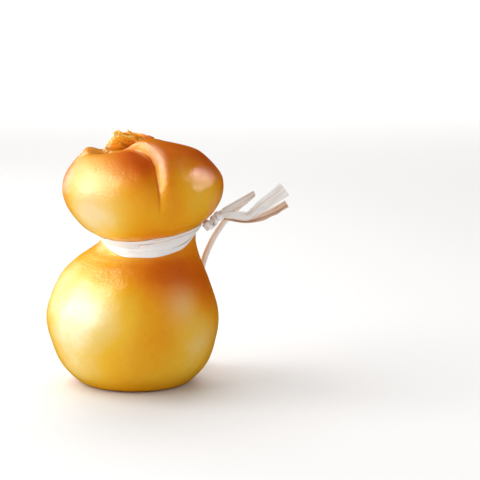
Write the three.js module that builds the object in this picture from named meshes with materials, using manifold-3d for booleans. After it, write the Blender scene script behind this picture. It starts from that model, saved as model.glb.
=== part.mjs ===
// A smoked scamorza: a stretched-curd cheese tied round the neck with raffia.
// Millimetres, +Z up. The origin is the middle of the flat spot that the cheese rests on.
// +X points to the side where the raffia is knotted, and +Y to the back.
import * as THREE from "three";
import { mergeVertices } from "three/addons/utils/BufferGeometryUtils.js";
import Module from "manifold-3d";

const wasm = await Module();
wasm.setup();

// ---- Driving dimensions of the cheese ----
const FOOT_RADIUS = 21.5; // the flat spot
const BALL_RADIUS = 38.8;
const NECK_RADIUS = 22;
const HEAD_RADIUS = 35.4;
const BALL_HEIGHT = 30; // of the ball's widest section
const NECK_HEIGHT = 70.2; // of the waist that the raffia sits in
const CHEESE_HEIGHT = 110; // to the top of the smooth head
const HEAD_CENTRE = new THREE.Vector3(3.5, 0, 90); // the relief on the head stands out from here

// Level sections from the foot to the crown: height, radius, and how far the middle stands off
// towards the knot. The sides run through them as one smooth curve.
const SECTIONS = [
  { z: 0, r: FOOT_RADIUS, x: 0 },
  { z: 2.5, r: 27, x: -0.4 },
  { z: 12, r: 34.4, x: -0.7 },
  { z: BALL_HEIGHT, r: BALL_RADIUS, x: -1.3 },
  { z: 46.6, r: 34.2, x: -1.2 },
  { z: 57, r: 27.8, x: 0.7 },
  { z: 63.6, r: 22.5, x: 4.2 },
  { z: NECK_HEIGHT, r: NECK_RADIUS, x: 6.3 },
  { z: 76.7, r: 30.1, x: 4.7 },
  { z: 85, r: HEAD_RADIUS, x: 3.2 },
  { z: 94.3, r: 35, x: 3.2 },
  { z: 103.9, r: 27.3, x: 2.8 },
  { z: 107.7, r: 17.5, x: 3.7 },
  { z: CHEESE_HEIGHT, r: 0, x: 4.8 },
];
const COLUMNS = Object.fromEntries(["z", "r", "x"].map((key) => [key, SECTIONS.map((s) => s[key])]));
const CROWN = SECTIONS.length - 2;
const FOOT_LEAD = 6; // the skin leaves the flat spot almost level, as if from this far inside it
const NECK_SECTION = 7; // place of the waist in SECTIONS
const NECK_RISE = 0.12; // slope of the waist, up towards the knot
const NECK_LEAN = 0.19; // slope of the waist, up towards the back
const NECK_REACH = 1.8; // how many sections the slope takes to fade
const BACK_DEPTH = 0.96; // the cheese is a little shallower than it is wide

// ---- Relief on the head ----
// A place on the head is (u, v): the angle down from the vertical at HEAD_CENTRE, in radians,
// times the cosine and sine of its bearing. One radian is about 25 mm of skin.
const SKIN_PER_RADIAN = 25;
// The fold starts at the notch on the left, runs over the front of the top and turns down the front.
const FOLD_LINE = [
  [-0.9, -0.4],
  [-0.6, -0.52],
  [-0.15, -0.64],
  [0.15, -1.02],
  [0.28, -1.45],
  [0.4, -1.9],
].map(([u, v]) => new THREE.Vector3(u, v, 0));
const FOLD_STEPS = 30;
const FOLD_FADE = 0.34; // share of the fold, at its lower end, over which it dies away
const FOLD_DROP = 3.4; // how far the lower lip lies under the fold at its start
const FOLD_RIDGE = 2.4; // how far the folded edge stands proud
const FOLD_BEGIN = [0.2, 0.45]; // shares of the fold between which the edge comes up
const FOLD_EDGE_ABOVE = 3; // width of the folded edge's flank on the top of the head
const FOLD_EDGE_FRONT = 6.5; // and where it runs down the front
const FOLD_TURN = [0.2, 0.6]; // shares of the fold between which the flank widens
const LIP_REACH = 9; // width over which the lower lip rolls down into the crease
const RIDGE_REACH = 12; // width over which the folded edge eases into the lobe
const CRATER = { u: -0.4, v: 0.05, across: 0.36, along: 0.36, depth: 6.5 }; // the stub stands in it
const CRATER_FRONT = { u: -0.5, v: -0.3, across: 0.26, along: 0.22, depth: 3 };
const SADDLE = { u: -0.5, v: 0.55, across: 0.42, along: 0.45, depth: 4.2 };
const NOTCH = { u: -0.84, v: -0.3, across: 0.13, along: 0.4, depth: 5 };
const MOUND = { u: -1, v: -0.2, across: 0.15, along: 0.32, depth: -3.4 };
const CREST = { u: 0.08, v: -0.44, across: 0.36, along: 0.3, depth: -1.3 }; // of the upper lobe
const DENTS = [CRATER, CRATER_FRONT, SADDLE, NOTCH, MOUND, CREST];
// Pleats run down the back from the crater, where the skin was gathered. They deepen from the first
// angle to the second and die away between the last two.
const PLEAT_BEARINGS = [62, 98, 137, 172].map(THREE.MathUtils.degToRad);
const PLEAT_REACH = [0.35, 0.7, 1.15, 1.7];
const PLEAT_DEPTH = 1.3;
const PLEAT_WIDTH = 0.075;

// ---- Mesh fineness ----
const RINGS_BELOW = 17; // from the foot to the waist
const RINGS_ABOVE = 36; // from the waist to the crown, where the relief is
const CHEESE_SIDES = 78;

// ---- Small tools ----
const lerp = THREE.MathUtils.lerp;
const smooth = (x, low, high) => THREE.MathUtils.smoothstep(x, low, high);
const bell = (x) => Math.exp(-x * x);

// Catmull-Rom value at place t in a list, where t counts entries; before and after give the ghosts.
function splineValue(values, t, before, after) {
  const i = Math.min(Math.floor(t), values.length - 2);
  const f = t - i;
  const p0 = i > 0 ? values[i - 1] : before;
  const p1 = values[i];
  const p2 = values[i + 1];
  const p3 = i + 2 < values.length ? values[i + 2] : after;
  const cubic = -p0 + 3 * p1 - 3 * p2 + p3;
  const square = 2 * p0 - 5 * p1 + 4 * p2 - p3;
  return 0.5 * (2 * p1 + (p2 - p0) * f + square * f * f + cubic * f ** 3);
}

// Surface through closed loops of points. Open ends get a cap, and a ring of loops closes on itself.
function loft(loops, isRing = false) {
  const sides = loops[0].length;
  const points = loops.flat();
  const index = [];
  const spans = isRing ? loops.length : loops.length - 1;
  for (let i = 0; i < spans; i += 1) {
    const next = (i + 1) % loops.length;
    for (let j = 0; j < sides; j += 1) {
      const k = (j + 1) % sides;
      const a = i * sides + j;
      const b = i * sides + k;
      const c = next * sides + j;
      const d = next * sides + k;
      index.push(a, b, d, a, d, c);
    }
  }
  if (!isRing) {
    const cap = (loop, offset, flip) => {
      const centre = loop.reduce((sum, p) => sum.add(p), new THREE.Vector3()).divideScalar(sides);
      const hub = points.push(centre) - 1;
      for (let j = 0; j < sides; j += 1) {
        const k = (j + 1) % sides;
        index.push(hub, offset + (flip ? j : k), offset + (flip ? k : j));
      }
    };
    cap(loops[0], 0, false);
    cap(loops[loops.length - 1], (loops.length - 1) * sides, true);
  }
  const geometry = new THREE.BufferGeometry().setFromPoints(points);
  geometry.setIndex(index);
  return facingOut(geometry);
}

// The same geometry with its faces turned round if they enclose a negative volume.
function facingOut(geometry) {
  const index = geometry.index.array;
  const p = geometry.attributes.position;
  const corner = (i) => new THREE.Vector3().fromBufferAttribute(p, index[i]);
  let volume = 0;
  for (let i = 0; i < index.length; i += 3) {
    volume += corner(i).dot(corner(i + 1).cross(corner(i + 2)));
  }
  if (volume < 0) {
    for (let i = 0; i < index.length; i += 3) {
      [index[i + 1], index[i + 2]] = [index[i + 2], index[i + 1]];
    }
  }
  return geometry;
}

function toSolid(geometry) {
  const bare = geometry.clone();
  bare.deleteAttribute("normal");
  bare.deleteAttribute("uv");
  const merged = mergeVertices(bare, 1e-4);
  return new wasm.Manifold(
    new wasm.Mesh({
      numProp: 3,
      vertProperties: new Float32Array(merged.attributes.position.array),
      triVerts: new Uint32Array(merged.index.array),
    }),
  );
}

function toGeometry(solid) {
  const mesh = solid.getMesh();
  const geometry = new THREE.BufferGeometry();
  geometry.setAttribute("position", new THREE.BufferAttribute(mesh.vertProperties, 3));
  geometry.setIndex(new THREE.BufferAttribute(mesh.triVerts, 1));
  return geometry;
}

// ---- The cheese's skin ----
// Point of the smooth skin: t counts SECTIONS from the foot, angle goes round from +X through +Y.
function smoothSkin(t, angle) {
  const r = splineValue(COLUMNS.r, t, FOOT_RADIUS - FOOT_LEAD, -COLUMNS.r[CROWN]);
  const z = splineValue(COLUMNS.z, t, 0, COLUMNS.z[CROWN]);
  const middle = splineValue(COLUMNS.x, t, 0, COLUMNS.x[CROWN]);
  const fade = bell((t - NECK_SECTION) / NECK_REACH);
  const across = r * Math.cos(angle);
  const deep = r * Math.sin(angle);
  const tilt = fade * (NECK_RISE * across + NECK_LEAN * deep);
  return new THREE.Vector3(middle + across, deep * BACK_DEPTH, z + tilt);
}

const foldCurve = new THREE.CatmullRomCurve3(FOLD_LINE);
const foldPoints = foldCurve.getSpacedPoints(FOLD_STEPS);

// Nearest place on the fold line: how far along it, and the signed distance in mm,
// positive on the side of the upper lobe.
function foldPlace(u, v) {
  const at = new THREE.Vector3(u, v, 0);
  let best = { gap: Infinity, along: 0, side: 1 };
  for (let i = 0; i < FOLD_STEPS; i += 1) {
    const run = foldPoints[i + 1].clone().sub(foldPoints[i]);
    const out = at.clone().sub(foldPoints[i]);
    const f = THREE.MathUtils.clamp(out.dot(run) / run.lengthSq(), 0, 1);
    const gap = out.clone().addScaledVector(run, -f).length();
    if (gap < best.gap) {
      const side = run.x * out.y - run.y * out.x > 0 ? 1 : -1;
      best = { gap, along: (i + f) / FOLD_STEPS, side };
    }
  }
  return { along: best.along, gap: best.side * best.gap * SKIN_PER_RADIAN };
}

// The lower lip rolls down into a sharp crease, and the folded edge stands up round beside it. Both
// fade towards the fold's lower end.
function foldRelief(u, v) {
  const { along, gap } = foldPlace(u, v);
  const strength = smooth(1 - along, 0, FOLD_FADE);
  if (gap < 0) return -strength * FOLD_DROP * (1 - Math.min(-gap / LIP_REACH, 1)) ** 2;
  const edge = lerp(FOLD_EDGE_ABOVE, FOLD_EDGE_FRONT, smooth(along, ...FOLD_TURN));
  const rise = Math.sin(0.5 * Math.PI * Math.min(gap / edge, 1));
  const proud = FOLD_RIDGE * smooth(along, ...FOLD_BEGIN);
  const beyond = proud * bell(Math.max(gap - edge, 0) / RIDGE_REACH);
  return strength * (-FOLD_DROP + (FOLD_DROP + beyond) * rise);
}

const dent = ({ u: u0, v: v0, across, along, depth }, u, v) =>
  -depth * bell(Math.hypot((u - u0) / across, (v - v0) / along));

function pleatRelief(u, v) {
  const out = Math.hypot(u, v);
  const [begin, full, easing, end] = PLEAT_REACH;
  const reach = smooth(out, begin, full) * (1 - smooth(out, easing, end));
  const bearing = Math.atan2(v, u);
  const depth = PLEAT_BEARINGS.map((b) => bell(((bearing - b) * out) / PLEAT_WIDTH));
  return -PLEAT_DEPTH * reach * depth.reduce((sum, d) => sum + d, 0);
}

function headRelief(u, v) {
  const dents = DENTS.reduce((sum, d) => sum + dent(d, u, v), 0);
  return foldRelief(u, v) + dents + pleatRelief(u, v);
}

// Point of the real skin, with the head's relief, standing out by lift.
function skin(t, angle) {
  const p = smoothSkin(t, angle);
  const out = p.clone().sub(HEAD_CENTRE);
  const down = out.angleTo(new THREE.Vector3(0, 0, 1));
  const bearing = Math.atan2(out.y, out.x);
  const relief = headRelief(down * Math.cos(bearing), down * Math.sin(bearing));
  return p.addScaledVector(out.normalize(), t > NECK_SECTION ? relief : 0);
}

// Outward direction of the skin, from two small steps along it.
function skinNormal(t, angle) {
  const step = 0.02;
  const alongAngle = skin(t, angle + step).sub(skin(t, angle - step));
  const alongHeight = skin(t + step, angle).sub(skin(t - step, angle));
  return alongAngle.cross(alongHeight).normalize();
}

// Angle at a share of the way round. The places are closer together where the fold runs down.
const FOLD_BEARING = THREE.MathUtils.degToRad(-85);
const CROWDING = 0.4;
function bearingOf(share) {
  const angle = 2 * Math.PI * share;
  return angle - CROWDING * Math.sin(angle - FOLD_BEARING);
}

function cheeseSkinGeometry() {
  const last = SECTIONS.length - 1;
  const loops = [];
  for (let i = 0; i < RINGS_BELOW + RINGS_ABOVE; i += 1) {
    const above = Math.max(i - RINGS_BELOW, 0) / RINGS_ABOVE;
    const t = (NECK_SECTION * Math.min(i, RINGS_BELOW)) / RINGS_BELOW + (last - NECK_SECTION) * above;
    const ring = [];
    for (let j = 0; j < CHEESE_SIDES; j += 1) {
      ring.push(skin(t, bearingOf(j / CHEESE_SIDES)));
    }
    loops.push(ring);
  }
  return loft(loops);
}

// Closed loop of a flat strip's section: a rounded oblong across the width and thickness directions.
function oblong(centre, acrossDir, thickDir, width, thickness, sides) {
  const loop = [];
  for (let j = 0; j < sides; j += 1) {
    const a = (2 * Math.PI * (j + 0.5)) / sides;
    const squared = (x) => Math.sign(x) * Math.sqrt(Math.abs(x));
    loop.push(
      centre
        .clone()
        .addScaledVector(acrossDir, 0.5 * width * squared(Math.cos(a)))
        .addScaledVector(thickDir, 0.5 * thickness * squared(Math.sin(a))),
    );
  }
  return loop;
}

// ---- The torn stub ----
// The curd was pulled off here, which left a ragged row of strips in the crater. They stand on a lump
// of curd and lean far over to the left, and a strip's tip is narrower than its root.
const STUB = {
  left: new THREE.Vector3(-15.2, -1, 0), // ends of the row of tips
  right: new THREE.Vector3(5.6, 4.5, 0),
  strips: 9,
  stagger: 1.3, // strips stand in front of and behind the row in turn
  lean: THREE.MathUtils.degToRad(27), // of a strip above level
  length: 14,
  width: 5,
  thickness: 3.4,
  levels: [0, 0.45, 0.7, 0.88, 1], // places up a strip
  tipWidth: 0.6, // share of the width that is left at a tip
  tipThickness: 0.35,
  peak: 112.9, // highest tip
  peakPlace: 0.4, // along the row
  fallLeft: 9.5, // how much lower the row's left end is
  fallRight: 3.2, // how much lower its right end is
  ragged: 2, // spread of the tips' heights
  uneven: 0.45, // spread of the widths and thicknesses, as a share
  sway: 0.7, // spread of a strip's middle line
  twist: 0.9, // spread of the strips' turns, in radians
  sides: 8,
};
const STUB_LUMP = { at: [-1, 1.5, 99], size: [9, 6.5, 8] };

function stubTop(share) {
  const toLeft = Math.max(STUB.peakPlace - share, 0) / STUB.peakPlace;
  const toRight = Math.max(share - STUB.peakPlace, 0) / (1 - STUB.peakPlace);
  return STUB.peak - STUB.fallLeft * toLeft ** 1.4 - STUB.fallRight * toRight;
}

function stripGeometry(place) {
  const random = () => THREE.MathUtils.seededRandom() - 0.5;
  const share = place / (STUB.strips - 1);
  const tip = STUB.left.clone().lerp(STUB.right, share);
  tip.y += place % 2 ? STUB.stagger : -STUB.stagger;
  tip.z = stubTop(share) + STUB.ragged * random();
  const way = new THREE.Vector3(-Math.cos(STUB.lean), 0, Math.sin(STUB.lean));
  const root = tip.clone().addScaledVector(way, -STUB.length);
  const front = new THREE.Vector3(0, -1, 0).applyAxisAngle(way, STUB.twist * random());
  const across = new THREE.Vector3().crossVectors(way, front);
  const loops = STUB.levels.map((f) => {
    const centre = root.clone().lerp(tip, f).addScaledVector(across, STUB.sway * random());
    const wide = lerp(1, STUB.tipWidth, f ** 3) * (1 + STUB.uneven * random());
    const deep = lerp(1, STUB.tipThickness, f ** 2) * (1 + STUB.uneven * random());
    return oblong(centre, across, front, STUB.width * wide, STUB.thickness * deep, STUB.sides);
  });
  return loft(loops);
}

// A ball with half sizes along each axis, turned about Y and moved to its place.
function lumpSolid({ at, size }, turn = 0) {
  const lump = new THREE.SphereGeometry(1, 14, 10);
  lump.scale(...size);
  lump.rotateY(turn);
  lump.translate(...at);
  return toSolid(lump);
}

const STRIP_SEED = 7;
function cheeseGeometry() {
  THREE.MathUtils.seededRandom(STRIP_SEED);
  let solid = toSolid(cheeseSkinGeometry()).add(lumpSolid(STUB_LUMP));
  for (let place = 0; place < STUB.strips; place += 1) {
    solid = solid.add(toSolid(stripGeometry(place)));
  }
  return toGeometry(solid);
}

// ---- The raffia tie ----
const CLEARANCE = 0.3; // between neighbouring pieces
// The band's edges at the front, and how far each climbs towards the back, counted in SECTIONS.
const BAND_EDGES = { low: 6.15, lowClimb: 0.38, high: 7.4, highClimb: 0.06 };
const BAND_THICKNESS = 0.9;
const BAND_EDGE_SHARE = 0.5; // of the thickness that is left at the band's edges
const BAND_ROWS = 4;
const BAND_STEPS = 72;

function liftedSkin(t, angle, lift) {
  return skin(t, angle).addScaledVector(skinNormal(t, angle), lift);
}

// The band lies on the waist all round: its section runs up the outside and down the inside.
function bandGeometry() {
  const loops = [];
  for (let i = 0; i < BAND_STEPS; i += 1) {
    const angle = (2 * Math.PI * i) / BAND_STEPS;
    const back = 1 + Math.sin(angle);
    const low = BAND_EDGES.low + BAND_EDGES.lowClimb * back;
    const high = BAND_EDGES.high + BAND_EDGES.highClimb * back;
    const outside = [];
    const inside = [];
    for (let row = 0; row <= BAND_ROWS; row += 1) {
      const share = row / BAND_ROWS;
      const t = lerp(low, high, share);
      const thickness = BAND_THICKNESS * lerp(1, BAND_EDGE_SHARE, (2 * share - 1) ** 2);
      outside.push(liftedSkin(t, angle, CLEARANCE + thickness));
      inside.unshift(liftedSkin(t, angle, CLEARANCE));
    }
    loops.push([...outside, ...inside]);
  }
  return loft(loops, true);
}

// Lumps of the knot: middle and half sizes along its own length, depth and height.
const KNOT_SLOPE = THREE.MathUtils.degToRad(47);
const KNOT_LUMPS = [
  { at: [32.6, -6.6, 72.6], size: [3.3, 2.6, 2.5] },
  { at: [34.8, -6.2, 75], size: [2.6, 2.2, 1.9] },
  { at: [36.6, -6, 77], size: [2.5, 2.3, 2.3] },
];

// The neck's skin as a core thick enough to hold the band too, which the knot is cut back from.
const CORE = { low: 5, high: 9.4, rings: 17, sides: 60 };
function neckCore() {
  const loops = [];
  for (let i = 0; i < CORE.rings; i += 1) {
    const t = lerp(CORE.low, CORE.high, i / (CORE.rings - 1));
    const ring = [];
    for (let j = 0; j < CORE.sides; j += 1) {
      ring.push(liftedSkin(t, (2 * Math.PI * j) / CORE.sides, 2 * CLEARANCE + BAND_THICKNESS));
    }
    loops.push(ring);
  }
  return toSolid(loft(loops));
}

function knotGeometry() {
  const lumps = KNOT_LUMPS.map((lump) => lumpSolid(lump, -KNOT_SLOPE));
  const wound = lumps.reduce((sum, lump) => sum.add(lump));
  return toGeometry(wound.subtract(neckCore()));
}

// A cut tail of the raffia: places along it, with the strip's width and its roll about its own length.
const WIDE_TAIL = [
  { at: [39.3, -7.9, 77], width: 2.6, roll: 0.2 },
  { at: [42.3, -8, 77.3], width: 4, roll: 0.1 },
  { at: [46.2, -7.9, 76.9], width: 3.6, roll: -0.5 },
  { at: [49.8, -7.6, 76.7], width: 4.6, roll: -0.3 },
  { at: [53.2, -7, 78.8], width: 5.2, roll: 0 },
  { at: [57.6, -6, 82], width: 5.8, roll: 0.05 },
  { at: [62, -5, 85.3], width: 6.3, roll: 0 },
  { at: [66.4, -4, 88.7], width: 6.7, roll: 0 },
];
const NARROW_TAIL = [
  { at: [38.6, -3.4, 75.8], width: 2.2, roll: 0 },
  { at: [43, -3.2, 75.2], width: 2.8, roll: 0.3 },
  { at: [49, -2.6, 74.4], width: 3.2, roll: 0.2 },
  { at: [55.5, -1.8, 75.4], width: 3.5, roll: 0 },
  { at: [62, -0.8, 78.2], width: 3.6, roll: -0.2 },
  { at: [68, 0.4, 81.4], width: 3.6, roll: 0 },
];
const TAIL_THICKNESS = 0.8;
const TAIL_STEPS = 28;
const TAIL_SIDES = 8;
const TOWARDS_FRONT = new THREE.Vector3(0, -1, 0);

function tailGeometry(places) {
  const curve = new THREE.CatmullRomCurve3(places.map(({ at }) => new THREE.Vector3(...at)));
  const widths = places.map(({ width }) => width);
  const rolls = places.map(({ roll }) => roll);
  const last = places.length - 1;
  const loops = [];
  for (let i = 0; i <= TAIL_STEPS; i += 1) {
    const share = i / TAIL_STEPS;
    const along = curve.getTangent(share);
    const roll = splineValue(rolls, last * share, rolls[0], rolls[last]);
    const across = new THREE.Vector3().crossVectors(along, TOWARDS_FRONT).normalize();
    across.applyAxisAngle(along, roll);
    const thick = new THREE.Vector3().crossVectors(along, across);
    const width = splineValue(widths, last * share, widths[0], widths[last]);
    loops.push(oblong(curve.getPoint(share), across, thick, width, TAIL_THICKNESS, TAIL_SIDES));
  }
  return loft(loops);
}

// The long end: straight out of the knot, over, down the back of the ball and round on the surface
// that the cheese stands on.
const STRAND_DIAMETER = 2.8;
const STRAND_SIDES = 8;
const STRAND_STEPS = 70;
const STRAND_ROUTE = [
  [38.9, -5.4, 78.6],
  [42.3, -5, 80.5],
  [45.7, -4.4, 82.4],
  [49, -3.2, 84.1],
  [51.6, -0.8, 85.3],
  [53, 2.6, 85.5],
  [52.3, 6.4, 84.2],
  [49.8, 9.8, 81.4],
  [46, 13, 77.4],
  [42, 16.2, 72.4],
  [38, 19.2, 66.4],
  [34.6, 22, 59.6],
  [32, 24.6, 52.2],
  [30.4, 26.8, 44.6],
  [29.6, 28.6, 36.6],
  [29.4, 29.9, 28.4],
  [29.5, 30.8, 20.4],
  [29.5, 31.6, 13],
  [29, 33.2, 6.6],
  [27.6, 36.4, 2.6],
  [24.6, 40.4, 1.5],
  [19.6, 44.2, 1.42],
  [13, 46.4, 1.42],
  [5.6, 46.8, 1.42],
  [-1.6, 45.4, 1.42],
  [-8, 42.6, 1.42],
].map((place) => new THREE.Vector3(...place));

function strandGeometry() {
  const section = new THREE.Shape();
  for (let j = 0; j < STRAND_SIDES; j += 1) {
    const a = (2 * Math.PI * j) / STRAND_SIDES;
    const x = 0.5 * STRAND_DIAMETER * Math.cos(a);
    const y = 0.5 * STRAND_DIAMETER * Math.sin(a);
    if (j === 0) section.moveTo(x, y);
    else section.lineTo(x, y);
  }
  section.closePath();
  return new THREE.ExtrudeGeometry(section, {
    steps: STRAND_STEPS,
    extrudePath: new THREE.CatmullRomCurve3(STRAND_ROUTE),
  });
}

// ---- The finished part ----
function rind() {
  return new THREE.MeshStandardMaterial({ color: 0xd9a13a, roughness: 0.42, metalness: 0 });
}

function raffia() {
  return new THREE.MeshStandardMaterial({ color: 0xeeeae6, roughness: 0.75, metalness: 0 });
}

function piece(name, geometry, material) {
  geometry.computeVertexNormals();
  const mesh = new THREE.Mesh(geometry, material);
  mesh.name = name;
  return mesh;
}

const tie = new THREE.Group();
tie.add(piece("raffia_band", bandGeometry(), raffia()));
tie.add(piece("raffia_knot", knotGeometry(), raffia()));
tie.add(piece("raffia_wide_tail", tailGeometry(WIDE_TAIL), raffia()));
tie.add(piece("raffia_narrow_tail", tailGeometry(NARROW_TAIL), raffia()));
tie.add(piece("raffia_strand", strandGeometry(), raffia()));

const part = new THREE.Group();
part.add(piece("cheese", cheeseGeometry(), rind()));
part.add(tie);

export default part;
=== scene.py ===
"""A smoked scamorza tied round the neck with raffia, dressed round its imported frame.

A shape is worked out in millimetres as whole arrays, and becomes metres as it is put into a mesh.
The origin is the middle of the flat spot that the cheese rests on. +X points to the side where the
raffia is knotted, +Y to the back and +Z up.
"""

import logging
import math
from collections.abc import Sequence
from dataclasses import dataclass, field
from enum import Enum

import bpy
import numpy as np
from mathutils import Euler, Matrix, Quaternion, Vector


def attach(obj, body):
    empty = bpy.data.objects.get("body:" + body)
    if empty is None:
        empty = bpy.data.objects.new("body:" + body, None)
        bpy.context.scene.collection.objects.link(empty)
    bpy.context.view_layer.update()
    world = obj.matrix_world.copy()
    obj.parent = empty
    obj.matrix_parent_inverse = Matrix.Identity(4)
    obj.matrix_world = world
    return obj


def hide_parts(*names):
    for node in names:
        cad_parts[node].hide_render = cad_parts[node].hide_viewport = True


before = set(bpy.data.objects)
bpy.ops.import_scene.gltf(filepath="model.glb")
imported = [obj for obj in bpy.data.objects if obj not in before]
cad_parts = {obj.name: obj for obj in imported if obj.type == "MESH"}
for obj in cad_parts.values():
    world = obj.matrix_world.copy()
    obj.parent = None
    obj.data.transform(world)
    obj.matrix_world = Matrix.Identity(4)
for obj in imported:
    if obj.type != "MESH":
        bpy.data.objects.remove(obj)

Array = np.ndarray
log = logging.getLogger("scamorza")

MM = 0.001  # metres in a millimetre
PHOTO_SIDE = 480  # pixels along each side of the picture
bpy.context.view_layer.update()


class Slot(Enum):
    """The record's finishes."""

    RIND = "smoked_rind"
    RAFFIA = "raffia"


class Bleach(Enum):
    """How far a strip of raffia is bleached, as the share of tan that is left in it. The darkest tan also
    stands for painted shade on strips that lie in shade.
    """

    WHITE = 0.0
    PALE = 0.22
    BLUSHED = 0.5
    # tan raffia, darkened also as painted shade
    SHADED_TAN = 0.9


class Use(Enum):
    """What a light panel is hung for."""

    BOTH = "it lights the object, and the gloss shows it"
    FILL = "it only lights the object"
    SHINE = "only the gloss shows it"


# ---- Small tools ----


def bell(x: Array) -> Array:
    """Bell curve: e to the power of minus x squared."""
    return np.exp(-np.square(x))


def smooth_step(x: Array, low: float, high: float) -> Array:
    """Step from 0 at low to 1 at high: 3 f squared minus 2 f cubed, where f is the share of the way."""
    f = np.clip((x - low) / (high - low), 0, 1)
    return f * f * (3 - 2 * f)


def mix(start: Array, end: Array, share: Array) -> Array:
    """Straight blend: start plus share times the way to end."""
    return start + (end - start) * share


def unit(vectors: Array) -> Array:
    """Each vector divided by its own length."""
    return vectors / np.linalg.norm(vectors, axis=-1, keepdims=True)


def spline(values: Sequence[float], place: Array, before: float, after: float) -> Array:
    """Smooth value at places that count the entries of a list, by uniform Catmull-Rom.

    The cubic through two entries leaves each along half the step between its neighbours.

    Args:
        values: The entries.
        place: Where to read, from 0 to the last entry's number.
        before: Ghost entry before the first.
        after: Ghost entry after the last.

    Returns:
        The values, in place's shape.
    """
    ghosts = np.concatenate([[before], values, [after]])
    i = np.clip(np.floor(place).astype(int), 0, len(values) - 2)
    f = place - i
    p0, p1, p2, p3 = (ghosts[i + k] for k in range(4))
    cubic = -p0 + 3 * p1 - 3 * p2 + p3
    square = 2 * p0 - 5 * p1 + 4 * p2 - p3
    return 0.5 * (2 * p1 + (p2 - p0) * f + square * f**2 + cubic * f**3)


def line_through(places: Sequence[Sequence[float]], count: int) -> Array:
    """Evenly spaced points on a smooth curve through some places.

    Each span is a cubic whose ends run along the centripetal Catmull-Rom tangents, in which a step
    counts as the square root of its length.

    Args:
        places: The places that the curve passes through.
        count: How many points to give.

    Returns:
        Array of count rows.
    """
    p = np.asarray(places, float)
    p = np.vstack([2 * p[0] - p[1], p, 2 * p[-1] - p[-2]])
    gap = np.sqrt(np.linalg.norm(np.diff(p, axis=0), axis=1))[:, None]
    slope = np.diff(p, axis=0) / gap
    across = (p[2:] - p[:-2]) / (gap[1:] + gap[:-1])
    tangent = slope[:-1] - across + slope[1:]
    f = np.linspace(0, 1, 60, endpoint=False)[None, :, None]
    start, end, span = p[1:-2, None], p[2:-1, None], gap[1:-1, None]
    leave, reach = tangent[:-1, None] * span, tangent[1:, None] * span
    cubic = 2 * start - 2 * end + leave + reach
    square = 3 * end - 3 * start - 2 * leave - reach
    dense = (start + leave * f + square * f**2 + cubic * f**3).reshape(-1, p.shape[1])
    dense = np.vstack([dense, p[-2]])
    run = np.concatenate([[0], np.cumsum(np.linalg.norm(np.diff(dense, axis=0), axis=1))])
    even = np.linspace(0, run[-1], count)
    return np.stack([np.interp(even, run, column) for column in dense.T], axis=1)


def waves(points: Array, wavelength: float, seed: int, count: int = 28) -> Array:
    """Soft noise about 1 strong: sine waves in random directions, summed and divided by root count/2.

    Args:
        points: Places, in millimetres along the last axis.
        wavelength: Middle of the waves' lengths, in millimetres.
        seed: Which noise it is.
        count: How many waves are summed.

    Returns:
        One value for each place.
    """
    random = np.random.default_rng(seed)
    ways = unit(random.normal(size=(count, points.shape[-1])))
    lengths = wavelength * random.uniform(0.7, 1.5, count)
    phases = random.uniform(0, 2 * math.pi, count)
    total = np.zeros(points.shape[:-1])
    for way, length, phase in zip(ways, lengths, phases):
        total += np.sin(2 * math.pi * (points @ way) / length + phase)
    return total / math.sqrt(count / 2)


def fibres(across: Array, along: Array, seed: int, finest: float = 0.45) -> Array:
    """Lengthwise fibres about 1 strong: sines of the place across a strip, whose phase drifts along it.

    Args:
        across: Place across the strip in millimetres.
        along: Place along it in millimetres.
        seed: Which strip it is.
        finest: Width of the finest fibre in millimetres.

    Returns:
        One value for each place.
    """
    random = np.random.default_rng(seed)
    total = np.zeros(np.broadcast(across, along).shape)
    for k in range(9):
        width = finest * (1.32**k)
        drift = random.uniform(0.2, 0.7) * np.sin(along / random.uniform(9, 22) + random.uniform(0, 6))
        total += np.sin(2 * math.pi * across / width + random.uniform(0, 6.3) + drift) * (1.1**k)
    return total / 4


# ---- Surfaces ----


@dataclass
class Surface:
    """A closed surface in millimetres, with named values at its points."""

    points: Array
    quads: Array
    triangles: Array
    values: dict[str, Array] = field(default_factory=dict)

    def volume(self) -> float:
        """Signed volume: a sixth of the sum of the triangles' triple products.

        Returns:
            The volume in cubic millimetres, which is negative where the faces point inwards.
        """
        split = np.vstack([self.triangles, self.quads[:, [0, 1, 2]], self.quads[:, [0, 2, 3]]])
        a, b, c = (self.points[split[:, k]] for k in range(3))
        return float(np.einsum("ij,ij->", a, np.cross(b, c))) / 6

    def facing_out(self) -> "Surface":
        """The same surface with its faces turned round if they enclose a negative volume."""
        if self.volume() >= 0:
            return self
        return Surface(self.points, self.quads[:, ::-1], self.triangles[:, ::-1], self.values)


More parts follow.
